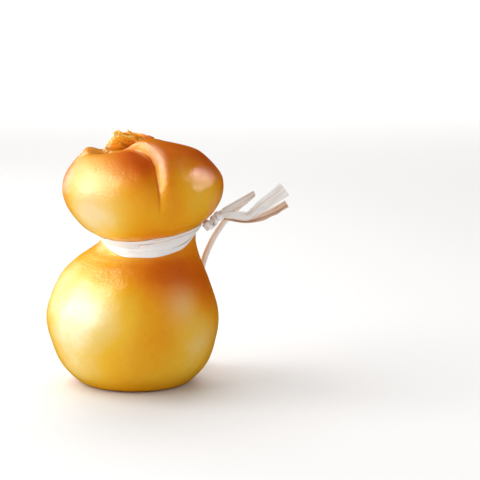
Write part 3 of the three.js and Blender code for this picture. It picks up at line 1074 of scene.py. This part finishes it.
@dataclass(frozen=True)
class SmokeAndLightZone:
    """A soft patch that adds its amount to the skin's smoke and painted light and shade, or to its painted
    sheen, and takes it away where it is negative.
    """

    at: tuple[float, float, float]
    reach: tuple[float, float, float]
    amount: float

    def value(self, points: Array) -> Array:
        """The amount times a bell of the distance, counted in the zone's own half sizes."""
        out = (points - np.array(self.at)) / np.array(self.reach)
        return self.amount * bell(np.linalg.norm(out, axis=-1))


@dataclass
class Cheese:
    """The cheese's body in its smoked skin."""

    skin: Skin
    rings_below: int = 104  # from the foot to the waist
    rings_above: int = 186  # from the waist to the crown
    sides: int = 320
    crowding: float = 0.4  # how much closer the places are where the fold runs down
    fold_bearing: float = math.radians(-85)
    plain_smoke: float = 0.45
    smoke_drift: float = 0.05  # by which it differs in broad patches
    drift_size: float = 38.0  # millimetres across such a patch
    # patches of smoke, and of painted light and shade
    smoke_and_painted_light_zones: tuple[SmokeAndLightZone, ...] = (
        SmokeAndLightZone((-28, -29, 38), (24, 28, 34), -0.46),  # the ball's pale left side, partly less smoke and partly a painted highlight from the lamps on the left
        SmokeAndLightZone((17, -24, 55), (21, 18, 12), 0.46),  # brown under the tie
        SmokeAndLightZone((4, -24, 62), (24, 12, 2.6), -0.16),  # paler on the roll just under the tie: a painted highlight where it catches the light
        SmokeAndLightZone((33, -12, 48), (9, 16, 16), 0.28),  # darker down the ball's right edge: painted shade
        SmokeAndLightZone((11, -36, 30), (10, 14, 14), 0.08),  # its middle
        SmokeAndLightZone((29, -24, 22), (15, 15, 14), -0.32),  # a pale patch low on the right, partly less smoke and partly a painted reflection
        SmokeAndLightZone((0, 0, -3), (60, 60, 8), 0.2),  # darker round the foot: painted shade near the floor
        SmokeAndLightZone((-28, -18, 8), (16, 16, 9), -0.16),  # but paler on the lit left, with less of that painted shade
        SmokeAndLightZone((-13, -25, 55), (12, 14, 7), 0.14),  # the ball's left shoulder
        SmokeAndLightZone((-25, -24, 84), (15, 20, 17), -0.33),  # the head's pale left side, partly less smoke and partly a painted highlight
        SmokeAndLightZone((-12, -30, 78), (10, 10, 8), -0.14),  # and below that, also partly a painted highlight
        SmokeAndLightZone((2, -26, 105), (12, 12, 8), 0.38),  # the top of the lower lip
        SmokeAndLightZone((22, -12, 107), (17, 16, 10), 0.46),  # the top of the upper lobe
        SmokeAndLightZone((33, -2, 102), (10, 14, 8), 0.26),  # and its right end
        SmokeAndLightZone((37, -4, 94), (8, 13, 14), 0.17),  # the head's right edge
        SmokeAndLightZone((28, -21, 88), (12, 12, 10), -0.13),  # and the paler skin before it, partly the skin's own and partly a painted highlight
        SmokeAndLightZone((19, -27, 97), (6, 8, 8), -0.14),  # paler on the lobe beside the fold's upper part: painted light where it faces away from the lamps
        SmokeAndLightZone((17, -30, 88), (6, 8, 12), 0.1),  # the lobe beside the fold
        SmokeAndLightZone((-19, -7, 108), (9, 12, 6), 0.2),  # the mound on the left
        SmokeAndLightZone((-31, -10, 91), (6, 16, 13), 0.28),  # the rim below it
        SmokeAndLightZone((8, -27, 70), (20, 14, 6), 0.12),  # under the head
        SmokeAndLightZone((-1, -31, 92), (9, 9, 13), 0.1),  # the lower lip's face
        SmokeAndLightZone((-10, 22, 100), (26, 18, 14), 0.3),  # the pleats at the back
        SmokeAndLightZone((4, 30, 50), (30, 16, 14), 0.2),  # the back, under the tie
    )
    painted_sheen_zones: tuple[SmokeAndLightZone, ...] = (
        SmokeAndLightZone((21, -30, 41), (7, 9, 8), 0.45),  # a pale pinkish patch on the ball's right side, partly the skin's own and partly a painted reflection
        SmokeAndLightZone((30, -22, 24), (9, 10, 9), 0.25),  # and a painted reflection lower down on it
        SmokeAndLightZone((-17, -7, 108), (8, 12, 5), 0.14),  # a painted pinkish rim highlight at the notch
        SmokeAndLightZone((-22, -28, 85), (12, 15, 15), 0.6),  # a painted milky highlight on the head's left side
    )

    def body(self) -> Surface:
        """The skin as a grid of rings and sides.

        Rings are even in sections below and above the waist, and the angle of a side is the share of
        the way round less a sine, which draws the sides together at the fold.

        Returns:
            The surface, with the smoke and painted light and shade, and the painted sheen, at its points.
        """
        below = np.linspace(0, self.skin.neck_section, self.rings_below, endpoint=False)
        above = np.linspace(self.skin.neck_section, self.skin.last, self.rings_above, endpoint=False)
        t = np.concatenate([below, above])[:, None]
        share = 2 * math.pi * np.arange(self.sides) / self.sides
        angle = (share - self.crowding * np.sin(share - self.fold_bearing))[None, :]
        points = self.skin.point(t, angle)
        place, is_head = self.skin.head_place(points), t > self.skin.neck_section
        smoke_and_painted_light = self.plain_smoke + self.smoke_drift * waves(points, self.drift_size, 11)
        smoke_and_painted_light += sum(zone.value(points) for zone in self.smoke_and_painted_light_zones)
        smoke_and_painted_light += np.where(is_head, self.skin.fold.smoke_and_painted_light(*place), 0)
        painted_sheen = sum(zone.value(points) for zone in self.painted_sheen_zones)
        painted_sheen += np.where(is_head, self.skin.fold.painted_sheen(*place), 0)
        return loft(points, values={"smoke_and_painted_light": smoke_and_painted_light, "painted_sheen": painted_sheen})

    def build(self, finish: bpy.types.Material) -> None:
        """Make the body."""
        make_piece("smoked_cheese", self.body(), finish, ["cheese"])


@dataclass
class TornStub:
    """The ragged stub where the curd was pulled off: strips that lean to the left out of the crater."""

    left: tuple[float, float] = (-15.2, -1.0)  # ends of the row of tips
    right: tuple[float, float] = (2.8, 4.5)
    peak: float = 112.6  # highest tip
    peak_place: float = 0.4
    fall_left: float = 9.5
    fall_right: float = 3.2
    columns: int = 10
    rows: int = 5
    row_step: float = 2.0  # from front to back
    row_fall: float = 0.7  # how much lower the front and back rows are than the middle one
    length: float = 11.0
    lean: float = math.radians(24)  # of a strip above level
    width: float = 3.6
    thickness: float = 2.2
    roughness: float = 0.09  # of the torn faces
    grain: float = 1.2  # size of their lumps
    seed: int = 7
    levels: int = 26
    sides: int = 28
    core_middle: tuple[float, float, float] = (-1.0, 1.5, 99.0)
    core_size: tuple[float, float, float] = (9.0, 6.5, 8.0)  # half sizes

    def tip_height(self, share: float) -> float:
        """Height of the tips along the row: it falls from the peak to each end.

        Args:
            share: Share of the way along the row, from the left.

        Returns:
            The height in millimetres.
        """
        to_left = max(self.peak_place - share, 0) / self.peak_place
        to_right = max(share - self.peak_place, 0) / (1 - self.peak_place)
        return self.peak - self.fall_left * to_left**1.4 - self.fall_right * to_right

    def strip(self, column: int, row: int, random: np.random.Generator) -> Surface:
        """One pulled strip, from its root in the cheese to its torn tip.

        Its middle line sags softly and curls at the tip. Its section is an ellipse that thins to the
        tip, with fibres as ridges along it and a lumpy face, and its rim is drawn out into prongs.

        Args:
            column: Its place along the row, from the left.
            row: Its row, from the front.
            random: The draw that its size and place come from.

        Returns:
            The strip, with the place along it, which passes 1 where the curd is pale.
        """
        share = (column + 0.5 * (row % 2) + random.uniform(-0.4, 0.4)) / self.columns
        outer = abs(row - (self.rows - 1) / 2)
        depth = (row - (self.rows - 1) / 2) * self.row_step + random.uniform(-0.6, 0.6)
        x, y = mix(np.array(self.left), np.array(self.right), share)
        top = self.tip_height(share) - self.row_fall * outer + random.normal() * 0.7
        lean = self.lean + random.normal() * 0.2
        turn = random.normal() * 0.3
        way = np.array([-math.cos(lean) * math.cos(turn), math.sin(turn) * 0.6, math.sin(lean)])
        length = self.length * random.uniform(0.75, 1.15)
        tip = np.array([x, y + depth, top])
        s = np.linspace(0, 1, self.levels)[:, None]
        a = np.linspace(0, 2 * math.pi, self.sides, endpoint=False)[None, :]
        across = unit(np.cross(way, np.array([0.5 * random.normal(), -1.0, 0.5 * random.normal()])))
        thick = np.cross(across, way)
        wide = 0.5 * self.width * random.uniform(0.55, 1.4) * (1 - 0.4 * s**2)
        deep = 0.5 * self.thickness * random.uniform(0.6, 1.3) * (1 - 0.55 * s**2)
        ridges = 1 + 0.2 * np.sin(4 * a + random.uniform(0, 6) + s) + 0.1 * np.sin(9 * a + 3 * s)
        prongs = np.sin(3 * a + random.uniform(0, 6)) + 0.6 * np.sin(5 * a + random.uniform(0, 6))
        torn = length * 0.09 * prongs * s**5
        sag = random.uniform(-0.5, 0.9) * np.sin(math.pi * s) + random.uniform(-0.4, 1.1) * s**4
        loops = tip + way * (length * (s - 1) + torn)[..., None]
        loops = loops + across * (wide * ridges * np.cos(a) + sag)[..., None]
        loops = loops + thick * (deep * ridges * np.sin(a))[..., None]
        out = across * np.cos(a)[..., None] + thick * np.sin(a)[..., None]
        loops = loops + out * (self.roughness * waves(loops, self.grain, self.seed + row))[..., None]
        pale = 0.35 * float(smooth_step(0.3 - share, 0, 0.3))
        return loft(loops, values={"along": np.broadcast_to(s * (1 + pale), loops.shape[:2])})

    def core(self) -> Surface:
        """The lump that the strips are rooted in: a squashed ball with soft lumps.

        Returns:
            The lump, with values near the root's.
        """
        v = np.linspace(0.02, math.pi - 0.02, 40)[:, None]
        a = np.linspace(0, 2 * math.pi, 60, endpoint=False)[None, :]
        ball = np.stack(np.broadcast_arrays(np.sin(v) * np.cos(a), np.sin(v) * np.sin(a), np.cos(v)), -1)
        rough = 1 + 0.06 * waves(ball * 10, 6, 21) + 0.04 * waves(ball * 10, 2.5, 22)
        points = np.array(self.core_middle) + ball * np.array(self.core_size) * rough[..., None]
        return loft(points, values={"along": 0.25 + 0.1 * waves(ball * 10, 4, 23)})

    def build(self, finish: bpy.types.Material) -> None:
        """Make all the strips as one piece.

        Args:
            finish: Its material.
        """
        random = np.random.default_rng(self.seed)
        places = [(c, r) for r in range(self.rows) for c in range(self.columns)]
        strips = [self.strip(c, r, random) for c, r in places]
        make_piece("torn_curd_stub", joined([self.core(), *strips]), finish, ["cheese"])


# ---- The raffia ----

TO_FRONT = np.array([0.0, -1.0, 0.0])
STRIP_STEP = 7  # millimetres between the strips' places in the fibres' pattern, so that no two match
TAIL_CRUMPLE = 0.12  # millimetres
TAIL_GRAIN = 0.05  # height of a tail's fibres
TAIL_FRAY = 0.03  # share of its width by which a tail's edges wander


def fibre_values(across: Array, along: Array, bleach: Bleach, shape: tuple[int, ...]) -> dict[str, Array]:
    """The values that the raffia's finish reads.

    Args:
        across: Place across the strip at each point, in millimetres.
        along: Place along it.
        bleach: How tan it is.
        shape: Loops by points in a loop.

    Returns:
        The named values, each in that shape.
    """
    places = {"across": np.broadcast_to(across, shape), "along": np.broadcast_to(along, shape)}
    return places | {"tan": np.full(shape, bleach.value)}


def there_and_back(face: Array) -> Array:
    """Values of a strip's outer face, and the same in turn for its inner face, whose points run back."""
    return np.concatenate([face, face[:, ::-1]], axis=1)


@dataclass(frozen=True)
class Turn:
    """A strip of raffia laid round the neck, from one angle to another."""

    start: float  # degrees
    end: float
    low: float  # place of its edges across the tie, from 0 at the lower edge to 1 at the upper
    high: float
    lift: float  # off the skin, in millimetres
    bleach: Bleach
    seed: int
    low_end: float | None = None  # the edges' places at its end, where they differ
    high_end: float | None = None

    @property
    def is_ring(self) -> bool:
        """Whether it goes all the way round."""
        return abs(self.end - self.start) >= 360


@dataclass
class RaffiaBand:
    """The tie round the neck: strips that overlap, gathered at the knot."""

    skin: Skin
    low: float = 6.05  # edges of the tie in sections, at the front
    low_climb: float = 0.38
    low_left: float = 0.35  # how much higher the lower edge is on the left
    high: float = 7.4
    high_climb: float = 0.06
    thickness: float = 0.34
    knot_bearing: float = math.radians(-14)
    knot_place: float = 7.12
    gather: float = 0.62  # share of the width that is lost at the knot
    gather_reach: float = 0.3  # radians
    columns: int = 30
    steps_per_degree: float = 1.1
    fewest_steps: int = 20
    along_radius: float = 24.0  # millimetres from the axis at which places along a strip are counted
    section_height: float = 6.4  # millimetres between two sections here
    stray: float = 0.02  # share of the tie's width by which a strip's edges wander
    crumple: float = 0.05
    grain: float = 0.045  # height of the fibres
    ragged: float = 1.3  # degrees by which a strip's torn end is uneven
    torn_share: float = 0.3  # share of the thickness at a torn end
    torn_reach: float = 4.0  # degrees over which it gets back its thickness
    sink: float = 0.6  # how much closer to the skin a strip's ends are
    sink_reach: tuple[float, float] = (2.0, 14.0)  # degrees from the end between which it comes up
    edge_thinning: float = 0.65  # share of the thickness that a strip's edges lack
    rim_place: float = 0.72  # share of the way to the tie's edge where it starts to come down
    turns: tuple[Turn, ...] = (
        # the base ring is the darkest tan, which shows in the gaps between the strips as painted shade as
        # well as the raffia's own tan
        Turn(-180, 180, 0.03, 0.97, 0.3, Bleach.SHADED_TAN, 31),
        Turn(-345, -102, 0.0, 1.0, 0.84, Bleach.WHITE, 32),
        Turn(-138, -8, 0.0, 0.37, 0.58, Bleach.PALE, 33, -0.2, 0.16),
        Turn(-138, -8, 0.28, 0.69, 0.66, Bleach.PALE, 34, 0.26, 0.62),
        Turn(-138, -8, 0.58, 0.83, 0.58, Bleach.WHITE, 35, 0.7, 0.9),
        Turn(-138, -8, 0.82, 1.0, 0.62, Bleach.BLUSHED, 36, 0.95, 1.1),
    )

    def edges(self, angle: Array) -> tuple[Array, Array]:
        """Lower and upper edge of the tie, drawn together at the knot by a bell of the angle from it.

        Args:
            angle: Angle round the axis.

        Returns:
            The places of the lower edge and of the upper one, in sections.
        """
        back = 1 + np.sin(angle)
        low = self.low + self.low_climb * back + self.low_left * np.maximum(-np.cos(angle), 0) ** 2
        high = self.high + self.high_climb * back
        from_knot = np.angle(np.exp(1j * (angle - self.knot_bearing)))
        pull = self.gather * bell(from_knot / self.gather_reach)
        return mix(low, self.knot_place, pull), mix(high, self.knot_place, pull)

    def strip(self, turn: Turn) -> Surface:
        """One strip: its section runs up the outside and down the inside.

        The outside stands off the skin by the lift and the thickness, with fibres as fine ridges and
        a soft crumple. It thins to its edges and to its torn ends, which sink under the other strips,
        and at the tie's own edges it comes down to the skin.

        Args:
            turn: How the strip is laid.

        Returns:
            The closed strip.
        """
        count = max(int(abs(turn.end - turn.start) * self.steps_per_degree), self.fewest_steps)
        share = np.linspace(0, 1, self.columns)[None, :]
        f = np.linspace(0, 1, count, endpoint=not turn.is_ring)[:, None]
        torn = 0 if turn.is_ring else self.ragged * fibres(share * 8, 0 * f, turn.seed + 60)
        angle = np.radians(mix(turn.start, turn.end, f) + torn + 0 * share)
        low, high = self.edges(angle)
        from_end = np.minimum(f, 1 - f) * (turn.end - turn.start)
        ends = 1 if turn.is_ring else mix(self.torn_share, 1, smooth_step(from_end, 0, self.torn_reach))
        edge_low = mix(turn.low, turn.low if turn.low_end is None else turn.low_end, f)
        edge_high = mix(turn.high, turn.high if turn.high_end is None else turn.high_end, f)
        along = angle * self.along_radius
        stray = self.stray * waves(np.stack([along, along * 0], -1)[:, 0], 17, turn.seed)[:, None]
        place = mix(edge_low, edge_high, share) + stray * (2 * share - 1)
        t = mix(low, high, place)
        across = (share * (edge_high - edge_low) + edge_low) * (high - low) * self.section_height
        grain = fibres(across, along, turn.seed)
        profile = 1 - self.edge_thinning * (2 * share - 1) ** 4
        crumple = waves(np.stack(np.broadcast_arrays(across, along * 0.35), -1), 5, turn.seed + 9)
        sunk = 0 if turn.is_ring else self.sink * (1 - smooth_step(from_end, *self.sink_reach))
        rim = smooth_step(np.abs(2 * place - 1), self.rim_place, 1)
        inside = mix(turn.lift + self.crumple * crumple - sunk, 0.1 * turn.lift, rim)
        outside = inside + (self.thickness * profile + self.grain * grain) * ends
        outer = self.skin.lifted(t, angle + 0 * t, outside)
        inner = self.skin.lifted(t, angle + 0 * t, inside)
        loops = np.concatenate([outer, inner[:, ::-1]], axis=1)
        wide = there_and_back(np.broadcast_to(across, t.shape) + turn.seed * STRIP_STEP)
        far = there_and_back(np.broadcast_to(along, t.shape))
        return loft(loops, turn.is_ring, fibre_values(wide, far, turn.bleach, loops.shape[:2]))

    def build(self, finish: bpy.types.Material) -> None:
        """Make each strip."""
        strips = [self.strip(turn) for turn in self.turns]
        make_piece("tie_round_the_neck", joined(strips), finish, ["raffia_band"])


@dataclass(frozen=True)
class Place:
    """A place along a strip of raffia: where its middle is, its width, its roll and its thickness."""

    at: tuple[float, float, float]
    width: float
    roll: float = 0.0
    thickness: float = 0.45


def ribbon(
    places: Sequence[Place], steps: int, columns: int, bleach: Bleach, seed: int, cup: float
) -> Surface:
    """A strip of raffia along a smooth line, whose face looks to the front where it isn't rolled.

    Its section runs along the upper face and back along the lower one. The face is the middle line
    plus the place across it, cupped by a parabola, with fibres as ridges and a slow crumple.

    Args:
        places: Places along it.
        steps: How many sections it has.
        columns: How many points across a face.
        bleach: How tan it is.
        seed: Which strip it is.
        cup: How far its edges curl up, as a share of its width.

    Returns:
        The closed strip.
    """
    line = line_through([p.at for p in places], steps)
    along_way = unit(np.gradient(line, axis=0))
    even = np.linspace(0, len(places) - 1, steps)
    widths = spline([p.width for p in places], even, places[0].width, places[-1].width)
    rolls = spline([p.roll for p in places], even, places[0].roll, places[-1].roll)
    depths = spline([p.thickness for p in places], even, places[0].thickness, places[-1].thickness)
    flat = unit(np.cross(along_way, TO_FRONT))
    up = np.cross(along_way, flat)
    across_way = flat * np.cos(rolls)[:, None] + up * np.sin(rolls)[:, None]
    thick_way = np.cross(along_way, across_way)
    c = np.linspace(-1, 1, columns)[None, :]
    run = np.concatenate([[0], np.cumsum(np.linalg.norm(np.diff(line, axis=0), axis=1))])[:, None]
    across = 0.5 * widths[:, None] * c
    grain = fibres(across, run, seed)
    crumple = TAIL_CRUMPLE * waves(np.stack(np.broadcast_arrays(across, run * 0.4), -1), 4, seed + 3)
    bend = cup * widths[:, None] * (c**2 - 0.4) + crumple
    half = 0.5 * depths[:, None] * (1 - 0.7 * c**4)
    edge = 1 + TAIL_FRAY * waves(np.stack([run, run * 0], -1)[:, 0], 6, seed + 5)[:, None]
    middle = line[:, None] + across_way[:, None] * (across * edge)[..., None]
    upper = middle + thick_way[:, None] * (bend + half + TAIL_GRAIN * grain)[..., None]
    lower = middle + thick_way[:, None] * (bend - half)[..., None]
    loops = np.concatenate([upper, lower[:, ::-1]], axis=1)
    wide = there_and_back(across + seed * STRIP_STEP)
    return loft(loops, values=fibre_values(wide, run, bleach, loops.shape[:2]))


@dataclass
class RaffiaKnot:
    """The knot beside the neck: the bundle that leaves the tie, with strips wound round it."""

    start: tuple[float, float, float] = (30.6, -7.0, 71.2)
    end: tuple[float, float, float] = (38.9, -5.6, 78.2)
    bundle_radius: float = 1.5
    wraps: tuple[tuple[float, float, float, float], ...] = (
        # place along the bundle, radius, width, slant in radians
        (0.24, 2.1, 2.4, 0.35),
        (0.5, 1.9, 1.9, -0.3),
        (0.78, 2.05, 2.0, 0.25),
    )
    wrap_thickness: float = 0.9
    steps: int = 56
    sides: int = 28
    bundle_steps: int = 30
    bundle_sides: int = 36

    def frame_at(self) -> tuple[Array, Array, Array, Array]:
        """Where the bundle begins and how it lies.

        Returns:
            Its start, the way it runs, and two ways square to that.
        """
        start, end = np.array(self.start), np.array(self.end)
        way = unit(end - start)
        side = unit(np.cross(way, TO_FRONT))
        return start, way, side, np.cross(way, side)

    def bundle(self) -> Surface:
        """The gathered strips: a round bundle with deep grooves along it.

        Returns:
            The closed bundle.
        """
        start, way, side, up = self.frame_at()
        length = float(np.linalg.norm(np.array(self.end) - start))
        s = np.linspace(0, length, self.bundle_steps)[:, None]
        a = np.linspace(0, 2 * math.pi, self.bundle_sides, endpoint=False)[None, :]
        grooves = 1 + 0.12 * np.sin(5 * a + 0.35 * s) + 0.07 * np.sin(9 * a - 0.2 * s)
        radius = self.bundle_radius * grooves * (1 + 0.1 * np.sin(s * 0.9))
        loops = start + way * s[..., None] + side * (radius * np.cos(a))[..., None]
        loops = loops + up * (radius * np.sin(a))[..., None]
        around = a * self.bundle_radius
        return loft(loops, values=fibre_values(around, s, Bleach.BLUSHED, loops.shape[:2]))

    def wrap(self, place: float, radius: float, width: float, slant: float, seed: int) -> Surface:
        """One strip wound once round the bundle.

        Its middle is a slanted circle, and its section an oblong with fibres as ridges round the loop.

        Args:
            place: Share of the way along the bundle.
            radius: Radius of its middle.
            width: Its width.
            slant: How far it is tipped, in radians.
            seed: Which strip it is.

        Returns:
            The closed ring.
        """
        start, way, side, up = self.frame_at()
        centre = mix(start, np.array(self.end), place)
        a = np.linspace(0, 2 * math.pi, self.steps, endpoint=False)[:, None]
        b = np.linspace(0, 2 * math.pi, self.sides, endpoint=False)[None, :]
        out = side * np.cos(a)[..., None] + up * np.sin(a)[..., None]
        uneven = 1 + 0.08 * np.sin(2 * a + seed) + 0.05 * np.sin(5 * a + 2 * seed)
        squared = np.sign(np.cos(b)) * np.sqrt(np.abs(np.cos(b)))
        ridges = 0.06 * np.sin(9 * b + 0.6 * np.sin(a + seed))
        off = radius * uneven + (self.wrap_thickness / 2 + ridges) * np.sin(b)
        shift = 0.5 * width * squared * (1 + 0.12 * np.sin(3 * a + seed)) + radius * slant * np.cos(a - 0.7)
        loops = centre + out * off[..., None] + way * shift[..., None]
        across = squared * width / 2 + seed * STRIP_STEP
        return loft(loops, True, fibre_values(across, a * radius, Bleach.PALE, loops.shape[:2]))

    def build(self, finish: bpy.types.Material) -> None:
        """Make the bundle and its wraps as one piece."""
        wraps = [self.wrap(*wrap, seed=41 + k) for k, wrap in enumerate(self.wraps)]
        make_piece("wound_knot", joined([self.bundle(), *wraps]), finish, ["raffia_knot"])


@dataclass
class RaffiaTails:
    """The two cut tails of the tie."""

    wide: tuple[Place, ...] = (
        Place((37.6, -7.0, 77.4), 2.2, 0.2, 0.8),
        Place((40.2, -7.9, 77.2), 3.2, 0.2, 0.7),
        Place((43.0, -8.0, 77.2), 3.9, 0.1),
        Place((46.2, -7.9, 76.9), 4.0, -0.4),
        Place((49.8, -7.6, 76.9), 4.7, -0.3),
        Place((53.2, -7.0, 79.0), 5.4, 0.0),
        Place((57.6, -6.0, 82.2), 6.0, 0.05),
        Place((62.0, -5.0, 85.4), 6.5, 0.0),
        Place((66.4, -4.0, 88.7), 6.8, 0.0),
    )
    narrow: tuple[Place, ...] = (
        Place((37.6, -4.6, 76.4), 1.8, 0.0, 0.7),
        Place((43.0, -3.2, 75.2), 2.8, 0.3),
        Place((49.0, -2.6, 74.4), 3.2, 0.2),
        Place((55.5, -1.8, 75.4), 3.6, 0.0),
        Place((62.0, -0.8, 78.2), 3.7, -0.2),
        Place((68.0, 0.4, 81.4), 3.7, 0.0),
    )

    def build(self, finish: bpy.types.Material) -> None:
        """Make both tails.

        Args:
            finish: Their material.
        """
        wide = ribbon(self.wide, steps=90, columns=34, bleach=Bleach.BLUSHED, seed=51, cup=0.05)
        # the narrow tail is the darkest tan all along: painted shade of a tail that lies in shade behind the
        # wide one
        narrow = ribbon(self.narrow, steps=80, columns=24, bleach=Bleach.SHADED_TAN, seed=52, cup=0.08)
        make_piece("wide_cut_tail", wide, finish, ["raffia_wide_tail"])
        make_piece("narrow_cut_tail", narrow, finish, ["raffia_narrow_tail"])


@dataclass
class RaffiaStrand:
    """The long end, a free cord: out of the knot, over, down behind the ball and round on the floor."""

    route: tuple[tuple[float, float, float], ...] = (
        (0.0389, -0.0054, 0.0786),
        (0.0423, -0.005, 0.0805),
        (0.0457, -0.0044, 0.0824),
        (0.049, -0.0032, 0.0841),
        (0.0516, -0.0008, 0.0853),
        (0.053, 0.0026, 0.0855),
        (0.0523, 0.0064, 0.0842),
        (0.0498, 0.0098, 0.0814),
        (0.046, 0.013, 0.0774),
        (0.042, 0.0162, 0.0724),
        (0.038, 0.0192, 0.0664),
        (0.0346, 0.022, 0.0596),
        (0.032, 0.0246, 0.0522),
        (0.0304, 0.0268, 0.0446),
        (0.0296, 0.0286, 0.0366),
        (0.0294, 0.0299, 0.0284),
        (0.0295, 0.0308, 0.0204),
        (0.0295, 0.0316, 0.013),
        (0.029, 0.0332, 0.0066),
        (0.0276, 0.0364, 0.0026),
        (0.0246, 0.0404, 0.0015),
        (0.0196, 0.0442, 0.00142),
        (0.013, 0.0464, 0.00142),
        (0.0056, 0.0468, 0.00142),
        (-0.0016, 0.0454, 0.00142),
        (-0.008, 0.0426, 0.00142),
    )
    diameter: float = 2.8
    flat_share: float = 0.5  # thickness over width where it leaves the knot
    rolled_share: float = 0.92  # and where it has rolled up on its way
    rolls_up: tuple[float, float] = (12.0, 55.0)  # millimetres along it between which it does
    face: tuple[float, float, float] = (0.35, -1.0, 0.25)  # the way that its flat side looks
    steps: int = 160
    fibre_place: float = 400.0  # its place in the fibres' pattern
    sides: int = 32

    def surface(self, line: Array) -> Surface:
        """The strand's skin along a line.

        Its section is an ellipse with fibres as ridges. Its flat way turns with the line, and it
        rolls up from a flat strip to an almost round one.

        Args:
            line: The middle line's points, in millimetres.

        Returns:
            The closed strand.
        """
        way = unit(np.gradient(line, axis=0))
        run = np.concatenate([[0], np.cumsum(np.linalg.norm(np.diff(line, axis=0), axis=1))])[:, None]
        flat = unit(np.cross(way, np.array(self.face)))
        up = np.cross(way, flat)
        a = np.linspace(0, 2 * math.pi, self.sides, endpoint=False)[None, :]
        share = mix(self.flat_share, self.rolled_share, smooth_step(run, *self.rolls_up))
        ridges = 1 + 0.035 * np.sin(9 * a + run / 9) + 0.025 * np.sin(14 * a - run / 14)
        radius = 0.5 * self.diameter
        across = radius * np.cos(a) * ridges
        thick = radius * share * np.sin(a) * ridges
        loops = line[:, None] + flat[:, None] * across[..., None] + up[:, None] * thick[..., None]
        place = radius * np.cos(a) + self.fibre_place
        return loft(loops, values=fibre_values(place, run, Bleach.BLUSHED, loops.shape[:2]))

    def build(self, finish: bpy.types.Material) -> None:
        """Args:
            finish: Its material.
        """
        line = line_through(self.route, self.steps)
        piece = make_piece("long_strand", self.surface(line / MM), finish, ["raffia_strand"])


def main() -> None:
    """Build the studio, the cheese and its tie."""
    logging.basicConfig(level=logging.INFO, format="%(name)s: %(message)s")
    studio = Studio()
    studio.place_camera()
    raffia = BleachedRaffia().material()
    RaffiaStrand().build(raffia)
    skin = Skin()
    Cheese(skin).build(SmokedRind().material())
    TornStub().build(TornCurd().material())
    RaffiaBand(skin).build(raffia)
    RaffiaKnot().build(raffia)
    RaffiaTails().build(raffia)
    studio.light()
    studio.lay_floor()


if __name__ == "__main__":
    main()
